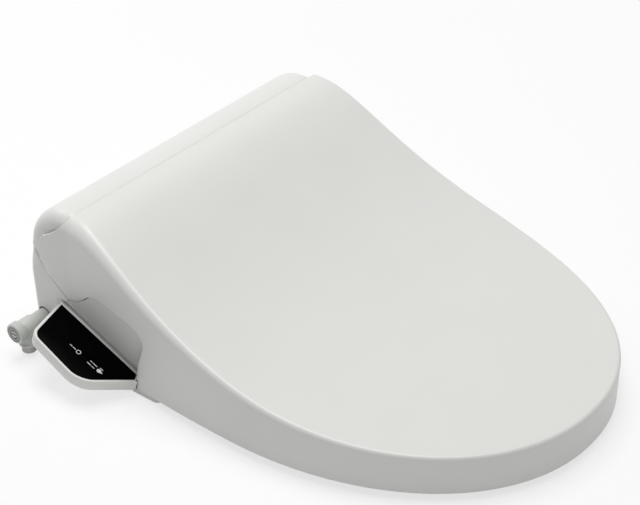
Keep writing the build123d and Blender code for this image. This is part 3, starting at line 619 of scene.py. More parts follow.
# %% Solids to cut with
def between(name, points):
    """A closed solid between two outlines of the same length, given one after the other."""
    count = len(points) // 2
    faces = grid_faces(2, count, close_columns=True) + [list(range(count)), list(range(count, 2 * count))]
    return draft(name, mesh_of(name, points, faces))


def prism(name, outline, x0, x1):
    """A closed solid from a (y, z) outline, carried from x0 to x1."""
    return between(name, [(x, y, z) for x in (x0, x1) for y, z in outline])


def block(name, x, y, z):
    """A closed box between pairs of limits."""
    return prism(name, [(y[0], z[0]), (y[1], z[0]), (y[1], z[1]), (y[0], z[1])], *x)


def rod(name, y, z, radius, x0, x1, sides=64):
    """A closed cylinder along X."""
    return prism(name, arc((y, z), radius, 0, 2 * math.pi, sides + 1)[:-1], x0, x1)


def cut(piece, cutters):
    """Takes the cutters out of a closed piece and removes them."""
    for cutter in cutters:
        modifier(piece, "BOOLEAN", operation="DIFFERENCE", solver="EXACT", object=cutter)
    applied(piece)
    for cutter in cutters:
        bpy.data.objects.remove(cutter)
    return piece


# %% The cover's outline
HOUSING_HALF_WIDTH = 175.5
HOUSING_FRONT_Y = -96.0
HOUSING_REAR_Y = 46.5
HOUSING_BOTTOM_Z = 16.0
RIDGE_R = 46.0
RIDGE_FRONT_DEG = 9.0
GAP_UNDER_LID = 7.5
FRONT_ROUND = 8.0
COVER_WALL = 3.0
REAR_LEAN = 1.5
RIDGE_EASE_DEG = 16.0
RIDGE_EASE_IN = 1.3
FRONT_DROP = 2.2
FRONT_START = 0.5


def rear_y(z):
    """Place of the rear wall at a height; it leans back a little up to the hinge's height."""
    return HOUSING_REAR_Y + REAR_LEAN * (z - HOUSING_BOTTOM_Z) / (HINGE_Z - HOUSING_BOTTOM_Z)


def ridge_point(radius, forward_deg):
    """A point about the hinge, turned forward from straight up."""
    a = math.radians(forward_deg)
    return (HINGE_Y - radius * math.sin(a), HINGE_Z + radius * math.cos(a))


def housing_outline(inset):
    """Side outline as (y, z): rear wall, ridge, slope, front wall."""
    r = RIDGE_R - inset
    rear = [(rear_y(z) - inset, z) for z in np.linspace(HOUSING_BOTTOM_Z, HINGE_Z, 24)]
    ridge = [ridge_point(r, a) for a in np.linspace(-90, RIDGE_FRONT_DEG, 44)[1:]]
    under = [(y, crown_z(y) - GAP_UNDER_LID - inset) for y in (-28, -50, -92)]
    slope = spline([ridge[-1], ridge_point(r - RIDGE_EASE_IN, RIDGE_EASE_DEG), *under], 48)[1:]
    front_y = HOUSING_FRONT_Y + inset
    front_top = under[-1][1] - FRONT_DROP
    turn = [(front_y + FRONT_ROUND * (1 - math.sin(a)), front_top - FRONT_ROUND * (1 - math.cos(a)))
            for a in np.linspace(FRONT_START, QUARTER, 9)]
    front = [(front_y, z) for z in np.linspace(turn[-1][1], HOUSING_BOTTOM_Z, 20)[1:]]
    return np.array([*rear, *ridge, *slope[slope[:, 0] > turn[0][0] + 1], *turn, *front])


outline = housing_outline(0.0)
print("cover outline:", len(outline), "points")

# %% The cover's loaf
END_STEPS = 12
CROSS_STEPS = 14
# Radius of each end's round at shares of the outline, from the rear wall's foot to the front's
END_SHARES = [0, 0.17, 0.3, 0.5, 0.72, 0.8, 1]
PLAIN_END_R = [10, 10, 8, 8, 8, 7, 6]
ARM_END_R = [10, 10, 13, 13, 11, 7, 6]
roll = np.linspace(QUARTER, 0, END_STEPS + 1)


def rolled_end(middle, inward, radius):
    """One row's points from the side face over the loaf's rounded end."""
    x = HOUSING_HALF_WIDTH - radius * (1 - np.sin(roll))
    return np.column_stack([x, middle + np.outer(1 - np.cos(roll), inward * radius)])


share = np.linspace(0, 1, len(outline))
plain_radii = np.interp(share, END_SHARES, PLAIN_END_R)
arm_radii = np.interp(share, END_SHARES, ARM_END_R)
tangent = np.gradient(outline, axis=0)
inwards = np.stack([-tangent[:, 1], tangent[:, 0]], axis=1)
inwards /= np.linalg.norm(inwards, axis=1)[:, None]
inwards[0], inwards[-1] = (-1, 0), (1, 0)
points = []
for middle, inward, plain_r, arm_r in zip(outline, inwards, plain_radii, arm_radii):
    plain_end = rolled_end(middle, inward, plain_r)
    arm_end = rolled_end(middle, inward, arm_r)[::-1] * (-1, 1, 1)
    points += [*plain_end, *np.linspace(plain_end[-1], arm_end[0], CROSS_STEPS + 1)[1:-1], *arm_end]
rows, columns = len(outline), 2 * (END_STEPS + 1) + CROSS_STEPS - 1
faces = grid_faces(rows, columns)
faces += [[r * columns for r in range(rows)], [r * columns + columns - 1 for r in range(rows)]]
faces += [[*range(columns), *range(rows * columns - 1, (rows - 1) * columns - 1, -1)]]
cover = draft("rear_cover_shell", mesh_of("rear_cover_shell", points, faces))
print("cover grid:", rows, "rows of", columns)

# %% Hollows, slots and holes in the cover
CORE_HALF_WIDTH = 146.0
CORE_BOTTOM_Z = 10.0
SLOT_X = (149.0, 161.0)
SLOT_EYE_R = 17.0
BUSH_HOLE_X = (160, 180)
BUSH_HOLE_R = 9.0
INLET_Y = 32.0
INLET_Z = 31.5
CORD_Z = 25.0
CORD_HOLE_X = (140, 190)
INLET_HOLE = (INLET_Y, INLET_Z, 9, -190, -140)
BUTTON_WINDOW = ((163, 190), (5.5, 28.5), (39.5, 52.5))
core = housing_outline(COVER_WALL)
core[[0, -1], 1] = CORE_BOTTOM_Z
cutters = [prism("core", core, -CORE_HALF_WIDTH, CORE_HALF_WIDTH),
           block("wand_port", (-24, 24), (-110, -70), (-2, 24))]
for side in SIDES:
    slot_x = on_side(side, SLOT_X)
    cutters += [block("slot_front", slot_x, (-110, -42), (24, 180)),
                block("slot_window", slot_x, (-43, 16), (26, 132)),
                rod("slot_eye", HINGE_Y, HINGE_Z, SLOT_EYE_R, *slot_x),
                rod("bush_hole", HINGE_Y, HINGE_Z, BUSH_HOLE_R, *on_side(side, BUSH_HOLE_X))]
cutters += [rod("inlet_hole", *INLET_HOLE), rod("cord_hole", INLET_Y, CORD_Z, 6, *CORD_HOLE_X),
            block("button_window", *BUTTON_WINDOW)]
cut(cover, cutters)
print("cover after cutting:", len(cover.data.polygons), "faces")

# %% [markdown]
# Behind and below the lid's tongues the housing swells out to the lid's own width, so that the closed seat
# has one flush side. This cheek is a skin with its own plan at every height: wide with a tight corner
# below, and drawing in towards the ridge's wide round above. Its front edge stops short of the tongue.

# %% The cheeks
CHEEK_HALF_WIDTH = 181.0
CHEEK_CORNER_R = 10.0
CHEEK_STEP_Z = (60.5, 61.5)
# Front edge as (height, y): upright below a step, then along the tongue
CHEEK_FRONT = [(0, 10.5), (CHEEK_STEP_Z[0], 10.5), (CHEEK_STEP_Z[1], -3.2), (63.6, -3.2), (75.9, 10.7),
               (80.0, 15.5), (84.8, 21.3), (90, 29), (99.5, 42), (110, 47)]
CHEEK_FADE_Z = 74.0
CHEEK_FADE_HEIGHT = 29.0
CHEEK_PROUD = 0.15
CHEEK_SUNK = 0.3
CHEEK_WALL = 2.0
CHEEK_RIM = 0.7
CHEEK_LEAD = 4.0
CHEEK_TAIL_X = 140.0


def cheek_row(z):
    """The cheek's plan at a height: front edge, side, round corner and a piece of the rear wall."""
    fade = np.clip((z - CHEEK_FADE_Z) / CHEEK_FADE_HEIGHT, 0, 1) ** 2
    half = CHEEK_HALF_WIDTH - (CHEEK_HALF_WIDTH - HOUSING_HALF_WIDTH + CHEEK_SUNK) * fade
    rear = rear_y(z) + CHEEK_PROUD - (CHEEK_PROUD + CHEEK_SUNK) * fade
    front = np.interp(z, *zip(*CHEEK_FRONT))
    start = math.asin(np.clip((front - rear) / CHEEK_CORNER_R + 1, 0, 0.98))
    corner = arc((half - CHEEK_CORNER_R, rear - CHEEK_CORNER_R), CHEEK_CORNER_R, start, QUARTER, 17)
    side = np.linspace((corner[0][0], front), corner[0], 9)[:-1]
    lead = np.linspace((HOUSING_HALF_WIDTH - CHEEK_LEAD, front), side[0], 5)[:-1]
    tail = np.linspace(corner[-1], (CHEEK_TAIL_X, rear - CHEEK_SUNK), 5)[1:]
    return [(x, y, z) for x, y in [*lead, *side, *corner, *tail]]


heights = [*np.linspace(HOUSING_BOTTOM_Z, CHEEK_STEP_Z[0], 16), *np.linspace(CHEEK_STEP_Z[1], HINGE_Z, 34)]
rows = [cheek_row(z) for z in heights]
cheeks = []
for side in SIDES:
    points = np.array(rows).reshape(-1, 3) * (side, 1, 1)
    skin = mesh_of("cheek", points, grid_faces(len(rows), len(rows[0])), merge_mm=0.001)
    if sum(f.normal.x * f.center.x + f.normal.y for f in skin.polygons) < 0:
        skin.flip_normals()
    cheeks.append(draft("cheek", thick_shell(skin, CHEEK_WALL, CHEEK_RIM)))
cut(cheeks[0], [rod("inlet_hole", *INLET_HOLE)])
cut(cheeks[1], [rod("cord_hole", INLET_Y, CORD_Z, 9, *CORD_HOLE_X),
                block("button_window", *BUTTON_WINDOW)])
print("cheeks:", [len(c.data.polygons) for c in cheeks], "faces")

# %% [markdown]
# On the arm's side an apron fills the lid's arch above the control arm. It is a flat outline with a depth,
# and a Bevel modifier breaks its edges.

# %% The apron above the control arm
APRON = [(4, 61.2), (-2.4, 63.2), (-11, 65.6), (-20, 69.6), (-26, 74.0), (-30, 77.6), (-33, 79.8),
         (-38, 82.2), (-43, 83.4), (-72, 80.8), (-96, 74.4), (-103, 70.4), (-106, 65), (-103, 54),
         (-99.6, 47.5), (-97.6, 38), (-93.6, 21)]
APRON_X = (-180.5, -170.0)
BEVEL_FROM_DEG = 50.0


def soft_edges(piece, width_mm, segments=3):
    """The piece with its sharp edges rounded off."""
    modifier(piece, "BEVEL", width=width_mm * MM, segments=segments, limit_method="ANGLE",
             angle_limit=math.radians(BEVEL_FROM_DEG))
    return applied(piece)


apron = soft_edges(prism("apron", APRON, *APRON_X), 0.8)
settle(joined("rear_cover_shell", [cover, *cheeks, apron]), "base", "white_shell", "rear_cover")

# %% [markdown]
# ## The seat ring
#
# The ring that one sits on shows only when the lid is up. Its section is of one kind all the way round: a
# wide round on the inside, a nearly flat top and a smaller round outside. So the grid goes round the
# opening, and every row is that section, stretched between the opening and the outer edge. At the rear it
# rises to meet the two arms that hang from the hinge; those are plain outlines with a Bevel modifier.

# %% The ring's outline
SEAT_INSET = 6.0
SEAT_REAR_Y = -100.0
SEAT_MIDDLE_Y = -256.5
OPENING_HALF_WIDTH = 107.0
OPENING_HALF_LENGTH = 121.5
SEAT_BASE_Z = 27.0
SEAT_HEIGHT = 11.0
INNER_LIP = 1.0
OUTER_LIP = 2.0
# A roll's largest width, and its largest share of the ring's width
INNER_ROLL = (18.0, 0.4)
OUTER_ROLL = (11.0, 0.28)
SEAT_RISE = 8.0
RISE_START_Y = -150.0
RISE_LENGTH = 36.0
RISE_HALF_WIDTH = 174.0
RISE_FADE = 12.0
RING_ROWS = 240
HALVINGS = 24


def inside_seat(x, y):
    """Whether a point lies inside the ring's outer edge."""
    if y > SEAT_REAR_Y:
        return False
    if y > LID_WIDEST_Y:
        return abs(x) < side_half_width(y) - SEAT_INSET
    across = abs(x) / (LID_HALF_WIDTH - SEAT_INSET)
    ahead = (LID_WIDEST_Y - y) / (LID_FRONT_LENGTH - SEAT_INSET)
    return across ** LID_ROUNDNESS + ahead ** LID_ROUNDNESS < 1


def outer_reach(a):
    """Distance from the opening's middle to the outer edge in a direction, found by halving."""
    near, far = 100.0, 300.0
    for _ in range(HALVINGS):
        middle = (near + far) / 2
        if inside_seat(middle * math.cos(a), SEAT_MIDDLE_Y + middle * math.sin(a)):
            near = middle
        else:
            far = middle
    return near


print("outer edge:", [round(outer_reach(a), 1) for a in (0.0, -QUARTER)], "to the side and front")

# %% The ring
SMOOTHING = 4
angles = np.linspace(0, 2 * math.pi, RING_ROWS, endpoint=False)
reach = np.array([outer_reach(a) for a in angles])
neighbours = [np.roll(reach, k) for k in range(-SMOOTHING, SMOOTHING + 1)]
reach = np.minimum(reach, sum(neighbours) / len(neighbours))
quarter = np.linspace(0, QUARTER, 9)


def seat_section(width):
    """The ring's section as (distance from the opening, height); narrow parts roll tighter."""
    roll_in = min(INNER_ROLL[0], INNER_ROLL[1] * width)
    roll_out = min(OUTER_ROLL[0], OUTER_ROLL[1] * width)
    inside = [(roll_in * (1 - math.cos(q)), INNER_LIP + (SEAT_HEIGHT - INNER_LIP) * math.sin(q))
              for q in quarter]
    outside = [(width - roll_out * (1 - math.cos(q)), OUTER_LIP + (SEAT_HEIGHT - OUTER_LIP) * math.sin(q))
               for q in quarter[::-1]]
    return [(1.0, 0.0), *inside, *outside, (width - 1, 0.0)]


def seat_rise(x, y):
    """How far the ring's top rises towards the arms at a place in plan."""
    share = np.clip((y - RISE_START_Y) / RISE_LENGTH, 0, 1)
    fade = np.clip((RISE_HALF_WIDTH - abs(x)) / RISE_FADE, 0, 1)
    return SEAT_RISE * share * share * (3 - 2 * share) * fade


points = []
for a, outer in zip(angles, reach):
    inner = 1 / math.hypot(math.cos(a) / OPENING_HALF_WIDTH, math.sin(a) / OPENING_HALF_LENGTH)
    for s, height in seat_section(outer - inner):
        x, y = (inner + s) * math.cos(a), SEAT_MIDDLE_Y + (inner + s) * math.sin(a)
        points.append((x, y, SEAT_BASE_Z + height + seat_rise(x, y) * height / SEAT_HEIGHT))
faces = grid_faces(RING_ROWS, len(points) // RING_ROWS, close_rows=True, close_columns=True)
ring = draft("seat_ring", mesh_of("seat_ring", points, faces))
print("ring:", len(ring.data.polygons), "faces")

# %% The ring's arms
SEAT_ARM_X = (149.6, 160.4)
PIN_HOLE_X = (140, 170)
SEAT_EYE_R = 14.0
EYE_PAST_HALF = 0.64


def seat_arm(side):
    """A gooseneck arm: an eye at the hinge, a leg down and a bar forward into the ring."""
    eye = arc((HINGE_Y, HINGE_Z), SEAT_EYE_R, -EYE_PAST_HALF, math.pi + EYE_PAST_HALF, 30)
    heel = arc((5, 37), 9, -QUARTER, 0, 8)
    elbow = arc((-22, 58), 12, 0, -QUARTER, 8)
    outline = [(-112, 28), *heel, *eye, *elbow, (-112, 46)]
    arm = prism("seat_arm", outline, *on_side(side, SEAT_ARM_X))
    cut(arm, [rod("pin_hole", HINGE_Y, HINGE_Z, PIN_BORE_R, *on_side(side, PIN_HOLE_X))])
    return soft_edges(arm, 1.2)


seat = joined("seat_ring", [ring, *[seat_arm(side) for side in SIDES]])
settle(seat, "seat", "white_shell", "seat_top")

# %% [markdown]
# ## The control arm
#
# The arm is a sloping slab with a black glass let into it. Its outline is drawn in plan, with wide rounds at
# the outer corners, and a small function sets each point on the slope. A grid has no use here: an outline, a
# depth and a Bevel modifier give the whole shape, and a Boolean sinks the seat of the glass.

# %% Slabs from rounded outlines
ARM_SLOPE = math.atan(0.4137)
ARM_TOP_Y = 1.0
ARM_TOP_Z = 58.5
ARM_DEPTH = 13.0


def on_arm(x, y, depth):
    """A plan point on the arm's sloping face, sunk square to it by a depth."""
    top_z = ARM_TOP_Z + (y - ARM_TOP_Y) * math.tan(ARM_SLOPE)
    return (x, y + depth * math.sin(ARM_SLOPE), top_z - depth * math.cos(ARM_SLOPE))


def level(x, y, depth):
    """A plan point on the level, sunk by a depth."""
    return (x, y, -depth)


def rounded(outline, radii, steps=14):
    """A plan outline whose numbered corners are replaced by arcs."""
    made = []
    for i, corner in enumerate(np.array(outline, float)):
        if i not in radii:
            made.append(tuple(corner))
            continue
        back = np.array(outline[i - 1]) - corner
        ahead = np.array(outline[(i + 1) % len(outline)]) - corner
        back, ahead = back / np.linalg.norm(back), ahead / np.linalg.norm(ahead)
        half = math.acos(np.clip(back @ ahead, -1, 1)) / 2
        middle = corner + (back + ahead) / np.linalg.norm(back + ahead) * radii[i] / math.sin(half)
        start = corner + back * radii[i] / math.tan(half) - middle
        end = corner + ahead * radii[i] / math.tan(half) - middle
        sweep = math.atan2(start[0] * end[1] - start[1] * end[0], start @ end)
        for a in np.linspace(0, sweep, steps):
            turn = np.array([[math.cos(a), -math.sin(a)], [math.sin(a), math.cos(a)]])
            made.append(tuple(middle + turn @ start))
    return made


def slab(name, outline, top, bottom, place=on_arm, edge_mm=0.0):
    """A closed slab between two depths, with its upper and lower edges rounded where asked."""
    made = between(name, [place(x, y, depth) for depth in (top, bottom) for x, y in outline])
    return soft_edges(made, edge_mm, segments=4) if edge_mm else made


# %% The arm, its foot and its web
ARM = rounded([(-174.5, 4), (-188, 3.8), (-230.6, -5.0), (-233.7, -66.8), (-189.5, -97.3), (-189.5, -94.2),
               (-174.5, -94.2)], {1: 30, 2: 11, 3: 27})
GLASS = rounded([(-184.6, 1.9), (-228.6, -7.4), (-231.6, -65.2), (-190.4, -93.8), (-184.6, -91)],
                {1: 9.5, 2: 25})
GLASS_DEPTH = 2.0
GROOVE = [(-180.6, 4), (-181.6, 4), (-181.6, -95.2), (-180.6, -95.2)]
GROOVE_DEPTH = 2.5
CUT_ABOVE = -3.0
WEB = [(10.8, 61.4), (4, 58.6), (-88, 13), (-88, 1.5), (-30, 1.5), (10.8, 40)]
FOOT = [(-175, -86), (-188, -86), *arc((-181.75, -113), 6.25, -math.pi, 0, 16)]
arm = slab("control_arm", ARM, 0.0, ARM_DEPTH, edge_mm=1.3)
cut(arm, [slab("glass_seat", GLASS, CUT_ABOVE, GLASS_DEPTH), slab("groove", GROOVE, CUT_ABOVE, GROOVE_DEPTH)])
web = prism("web", WEB, -180.6, -174.5)
foot = slab("foot", FOOT, -7.4, -0.8, place=level, edge_mm=1.4)
settle(joined("control_arm", [arm, web, foot]), "base", "white_shell", "arm_shell", "arm_cover")

# %% The glass and its printed marks
GLASS_TOP = -0.1
PRINT_TOP = -0.16
RING_MIDDLE = (-210.2, -44.0)
RING_RADII = (1.7, 2.3)
RING_STEPS = 32
DROP_MIDDLE = (-210.0, -68.6)
DROP_TIP = (-210.0, -73.0)
DROP_R = 2.0
DROP_PAST_HALF = 0.9
DASH_HALF_WIDTH = 0.35
# Dashes as (x, upper end, lower end)
DASHES = [(-210.3, -33.6, -36.4), (-210.3, -37.2, -40.6), (-211.6, -56.0, -60.2), (-211.6, -61.0, -64.6),
          (-208.2, -56.6, -58.8), (-208.2, -59.6, -64.8), (-206.8, -67.0, -70.6)]
glass = slab("touch_glass", GLASS, GLASS_TOP, GLASS_DEPTH, edge_mm=0.35)
settle(glass, "base", "black_glass", "control_panel")
near, far = [arc(RING_MIDDLE, r, 0, 2 * math.pi, RING_STEPS + 1) for r in RING_RADII]
outlines = [[near[k], far[k], far[k + 1], near[k + 1]] for k in range(RING_STEPS)]
drop = arc(DROP_MIDDLE, DROP_R, -DROP_PAST_HALF, math.pi + DROP_PAST_HALF, 20)
outlines.append([*drop, DROP_TIP])
for x, y0, y1 in DASHES:
    left, right = x - DASH_HALF_WIDTH, x + DASH_HALF_WIDTH
    outlines.append([(left, y0), (left, y1), (right, y1), (right, y0)])
marks = [slab("mark", mark, PRINT_TOP, GLASS_TOP) for mark in outlines]
settle(joined("printed_marks", marks), "base", "white_shell", material=PRINT_WHITE)

# %% [markdown]
# ## The water inlet
#
# A tee of turned shapes: a pipe out of the housing, a branch down to the supply hose and a filter cap on the
# end. Each is an outline turned about its axis, so the rounds, the groove and the thread are all points of
# the outline. The thread is drawn as rings, which look the same at this size as a helix.

# %% The tee
BRANCH_X = -205.0
THREAD_R = 7.15
THREAD_DEPTH = 0.35
PIPE = [(-128, 0), (-128, 6.5), (-172, 6.5), (-174, 7.6), (-194.5, 7.6), (-196.0, 8.0), (-197.4, 8.7),
        (-199, 9.0), (-210.8, 9.0), (-211.6, 8.7), (-212, 8.0), (-212, 0)]
thread = [(z, THREAD_R - THREAD_DEPTH * (k % 2)) for k, z in enumerate(np.linspace(11.8, 5.0, 13))]
branch = [(INLET_Z, 0), (INLET_Z, 6.6), (18, 6.3), (15.4, 6.6), (14.6, 7.4), (14.4, 8.7), (14.0, 9),
          (12.5, 9), (12.1, 8.7), (12, 7.2), *thread, (4.4, 6.7), (4, 6.2), (4, 4), (9, 4), (9, 0)]
tee = joined("inlet_tee_body", [lathe("pipe", PIPE, (0, INLET_Y, INLET_Z)),
                                lathe("branch", branch, (BRANCH_X, INLET_Y, 0), axis="z")])
settle(tee, "base", "grey_plastic", "inlet_tee", sharp_deg=40)

# %% The filter cap
CAP_R = 10.2
CAP_ROUND = 1.6
CAP_FACE_X = -221.0
CAP_FACE = [(CAP_FACE_X, 0), (CAP_FACE_X, 3.6), (-218.6, 3.8), (-218.6, 5.2), (CAP_FACE_X, 5.4),
            (CAP_FACE_X, 6.2), (-219.0, 6.4), (-219.0, 7.8), (CAP_FACE_X, 8.0)]
CAP_BACK = [(-213, CAP_R), (-212.4, CAP_R - 0.2), (-212, CAP_R - 0.8), (-212, 0)]
cap_edge = arc((CAP_FACE_X + CAP_ROUND, CAP_R - CAP_ROUND), CAP_ROUND, math.pi, QUARTER, 8)
cap = lathe("filter_cap_body", [*CAP_FACE, *cap_edge, *CAP_BACK], (0, INLET_Y, INLET_Z))
cut(cap, [block("coin_slot", (-223, -219.4), (INLET_Y - 3.4, INLET_Y + 3.4), (INLET_Z - 0.8, INLET_Z + 0.8))])
print("filter cap:", len(cap.data.polygons), "faces")

# %% [markdown]
# ## Repeated small pieces
#
# The ribs on the filter cap, the rubber pads and the screws are copies of one shape. Geometry Nodes does
# this well: a handful of points say where the copies go and how far each is turned, and one node group
# puts the piece on every point. The group ends in Realize Instances and Set Material, so that what comes
# out is a plain mesh.

# %% A node group that copies a piece to points
def copies_group():
    """Points and a piece go in; a copy of the piece on every point, turned about X, comes out."""
    group = bpy.data.node_groups.new("copies_on_points", "GeometryNodeTree")
    for name, kind in (("Points", "Geometry"), ("Piece", "Object"), ("Finish", "Material")):
        group.interface.new_socket(name, in_out="INPUT", socket_type="NodeSocket" + kind)
    group.interface.new_socket("Copies", in_out="OUTPUT", socket_type="NodeSocketGeometry")
    given = node(group, "NodeGroupInput").outputs
    turn = node(group, "GeometryNodeInputNamedAttribute", {"data_type": "FLOAT"}, Name="turn")
    about = node(group, "ShaderNodeCombineXYZ", X=turn.outputs["Attribute"])
    piece = node(group, "GeometryNodeObjectInfo", Object=given["Piece"])
    spots = node(group, "GeometryNodeMeshToPoints", Mesh=given["Points"])
    placed = node(group, "GeometryNodeInstanceOnPoints", Points=spots.outputs[0],
                  Instance=piece.outputs["Geometry"], Rotation=about.outputs[0])
    realized = node(group, "GeometryNodeRealizeInstances", Geometry=placed.outputs[0])
    finish = node(group, "GeometryNodeSetMaterial", Geometry=realized.outputs[0], Material=given["Finish"])
    node(group, "NodeGroupOutput", Copies=finish.outputs[0])
    return group


COPIES = copies_group()


def copies(name, piece, places, finish, turns=None):
    """The piece on every place as one plain mesh; the single piece is removed."""
    mesh = bpy.data.meshes.new(name)
    mesh.from_pydata([Vector(p) * MM for p in places], [], [])
    mesh.attributes.new("turn", "FLOAT", "POINT").data.foreach_set("value", turns or [0.0] * len(places))
    carrier = draft(name, mesh)
    nodes = carrier.modifiers.new("copies", "NODES")
    nodes.node_group = COPIES
    sockets = {s.name: s.identifier for s in COPIES.interface.items_tree if s.in_out == "INPUT"}
    nodes[sockets["Piece"]] = piece
    nodes[sockets["Finish"]] = finish
    applied(carrier)
    bpy.data.objects.remove(piece)
    return carrier


# %% Ribs on the cap, pads and screws
def pad(radius, height, edge):
    """A round pad that stands on zero, with soft edges."""
    return lathe("pad", ring_outline(0, height, radius, edge, count=6), (0, 0, 0), axis="z", steps=40)


RIBS = 28
RIB = [(-219.0, -0.42), (-212.8, -0.42), (-212.8, 0.42), (-219.0, 0.42)]
rib = slab("rib", RIB, -10.4, -9.6, place=level, edge_mm=0.25)
around = [2 * math.pi * k / RIBS for k in range(RIBS)]
ribs = copies("ribs", rib, [(0, INLET_Y, INLET_Z)] * RIBS, GREY_ACETAL, around)
settle(joined("filter_cap_body", [cap, ribs]), "base", "grey_plastic", "filter_cap")

LID_STOP_Z = 38.4
seat_pads = [(s * 146, -230, 0) for s in SIDES] + [(s * 62, -418, 0) for s in SIDES]
settle(copies("seat_pads", pad(9, 10, 2.0), seat_pads, RUBBER), "seat", "rubber", "seat_bumpers")
rear_stops = copies("rear_stops", pad(7, 8.6, 1.6), [(s * 135, -260, LID_STOP_Z) for s in SIDES], RUBBER)
front_stops = copies("front_stops", pad(7, 5.1, 1.6), [(s * 52, -424, LID_STOP_Z) for s in SIDES], RUBBER)
settle(joined("lid_stops", [rear_stops, front_stops]), "lid", "rubber", "lid_bumpers")
feet = [(s * 132, y, 0) for s in SIDES for y in (-74, 26)]
settle(copies("housing_feet", pad(8, 2.4, 0.8), feet, RUBBER), "base", "rubber", "base_pads")

SCREW = [(1.2, 0), (1.2, 3.1), (1.5, 3.4), (3.2, 3.4), (3.2, 1.7), (17.2, 1.7), (18, 0.9), (18, 0)]
CROSS_LONG = (-2.1, 2.1)
CROSS_NARROW = (-0.45, 0.45)
CROSS_DEEP = (0.8, 2.4)
screw = lathe("screw", SCREW, (0, 0, 0), axis="z", steps=32)
cut(screw, [block("cross", CROSS_LONG, CROSS_NARROW, CROSS_DEEP),
            block("cross", CROSS_NARROW, CROSS_LONG, CROSS_DEEP)])
places = [(s * 155, y, 0) for s in SIDES for y in (-76, 30)]
settle(copies("tray_screws", screw, places, STEEL), "base", "steel", "housing_screws")

# %% [markdown]
# ## Finishes on the carried-over pieces
#
# Everything that was not modelled again keeps its construction mesh and only gets the finish of its slot.
# Smooth shading with sharp edges kept where two faces meet at more than 30 degrees suits turned and moulded
# pieces alike.

# %% Dress the construction pieces
for part in frame["record"]["subparts"]:
    dress(frame["nodes"][part["node"]], FINISHES[part["material_slot"]], sharp_deg=30)

# %% [markdown]
# ## Floor, light and camera
#
# The object stands in a white studio. The floor is a white sheet that keeps a soft shadow near the object
# and fades to plain white further off, so that no edge of it shows. The world is white where the camera,
# a reflection or a clear piece looks at it, and dimmer where it only lights the object. One large soft
# lamp overhead makes the top brighter than the sides, as in a product photograph, and a small weak one
# behind draws a light band along the ridge.

# %% World
WORLD_FILL = 0.35
scene = bpy.context.scene
scene.view_settings.view_transform = "Standard"


def shown_rays(tree):
    """One for a ray from the camera, a reflection or a clear piece, and zero for other light."""
    path = node(tree, "ShaderNodeLightPath").outputs
    shown = path["Is Camera Ray"]
    for ray in ("Is Glossy Ray", "Is Transmission Ray"):
        shown = node(tree, "ShaderNodeMath", {"operation": "MAXIMUM"}, _0=shown, _1=path[ray]).outputs[0]
    return shown


world = bpy.data.worlds.new("white_studio")
world.use_nodes = True
tree = world.node_tree
strength = node(tree, "ShaderNodeMapRange", Value=shown_rays(tree), To_Min=WORLD_FILL, To_Max=1.0)
feed(tree, tree.nodes["Background"], Strength=strength.outputs["Result"], Color=linear("#ffffff"))
scene.world = world
print("world:", world.name)

# %% Floor
# Floor sizes are in millimetres; the shadow fades between two distances in metres
FLOOR_HALF = 6000.0
FLOOR_Z = -0.2
FLOOR_SHADOW = 0.3
SHADOW_NEAR = 0.5
SHADOW_FAR = 1.6
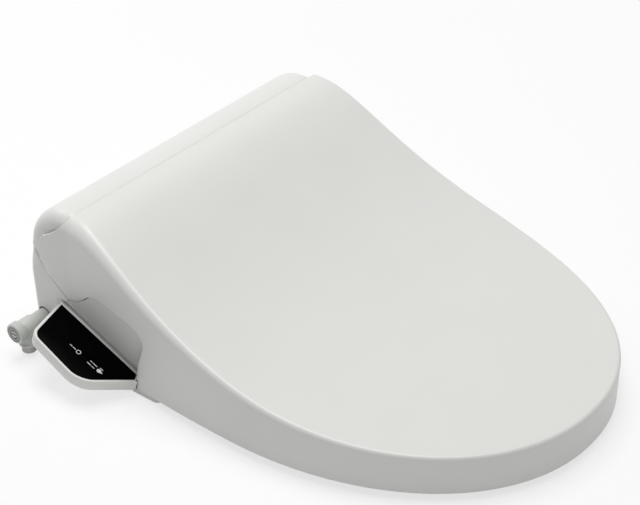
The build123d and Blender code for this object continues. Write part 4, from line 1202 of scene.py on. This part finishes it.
# White paper: matt, almost without reflection
floor_material, tree, paper, floor_place = new_material("white_paper_sweep")
feed(tree, paper, Base_Color=linear("#f4f4f4"), Roughness=0.9, Specular_IOR_Level=0.1)
glow = node(tree, "ShaderNodeEmission", Strength=1.0)
away = node(tree, "ShaderNodeVectorMath", {"operation": "LENGTH"}, _0=floor_place)
white = node(tree, "ShaderNodeMapRange", Value=away.outputs["Value"], From_Min=SHADOW_NEAR,
             From_Max=SHADOW_FAR, To_Min=1 - FLOOR_SHADOW, To_Max=1.0)
white_share = node(tree, "ShaderNodeMath", {"operation": "MULTIPLY"}, _0=shown_rays(tree),
                   _1=white.outputs["Result"])
blend = node(tree, "ShaderNodeMixShader", _0=white_share.outputs[0], _1=paper.outputs[0], _2=glow.outputs[0])
feed(tree, tree.nodes["Material Output"], Surface=blend.outputs[0])
corners = [(-1, -1), (1, -1), (1, 1), (-1, 1)]
sheet = [(x * FLOOR_HALF, y * FLOOR_HALF, FLOOR_Z) for x, y in corners]
floor = draft("floor", mesh_of("floor", sheet, [(0, 1, 2, 3)]))
floor.data.materials.append(floor_material)
print("floor:", 2 * FLOOR_HALF * MM, "m wide")

# %% Lamps
def area_light(name, place, target, size, power):
    """A soft lamp of a width and a length at a place in metres, turned to a target."""
    data = bpy.data.lights.new(name, "AREA")
    data.shape = "RECTANGLE"
    data.size, data.size_y = size
    data.energy = power
    lamp = bpy.data.objects.new(name, data)
    lamp.location = place
    lamp.rotation_euler = (Vector(target) - Vector(place)).to_track_quat("-Z", "Y").to_euler()
    scene.collection.objects.link(lamp)


CENTRE = (0.0, -0.2, 0.05)
area_light("overhead_softbox", (0.05, 0.0, 2.2), CENTRE, (0.9, 1.8), 33.0)
area_light("rear_softbox", (0.0, 1.3, 1.15), (0.0, 0.0, 0.14), (0.9, 0.4), 4.5)

# %% [markdown]
# The camera stands where the photograph's did. Its place, aim and lens were fitted to the object's outline
# there. The shift moves the picture in its frame without turning the camera, so the perspective stays.

# %% Camera
CAMERA_PLACE = (-1.00335, -0.97650, 0.95539)
CAMERA_AIM = (0.6446, 0.5019, -0.5766)
camera_data = bpy.data.cameras.new("camera")
camera_data.lens = 92.6
camera_data.sensor_width = 36.0
camera_data.shift_x = -0.0468
camera_data.shift_y = 0.0588
camera_data.clip_end = 50.0
camera = bpy.data.objects.new("camera", camera_data)
camera.location = CAMERA_PLACE
camera.rotation_euler = Vector(CAMERA_AIM).to_track_quat("-Z", "Y").to_euler()
scene.collection.objects.link(camera)
scene.camera = camera
print("camera:", round(camera_data.lens, 1), "mm lens")
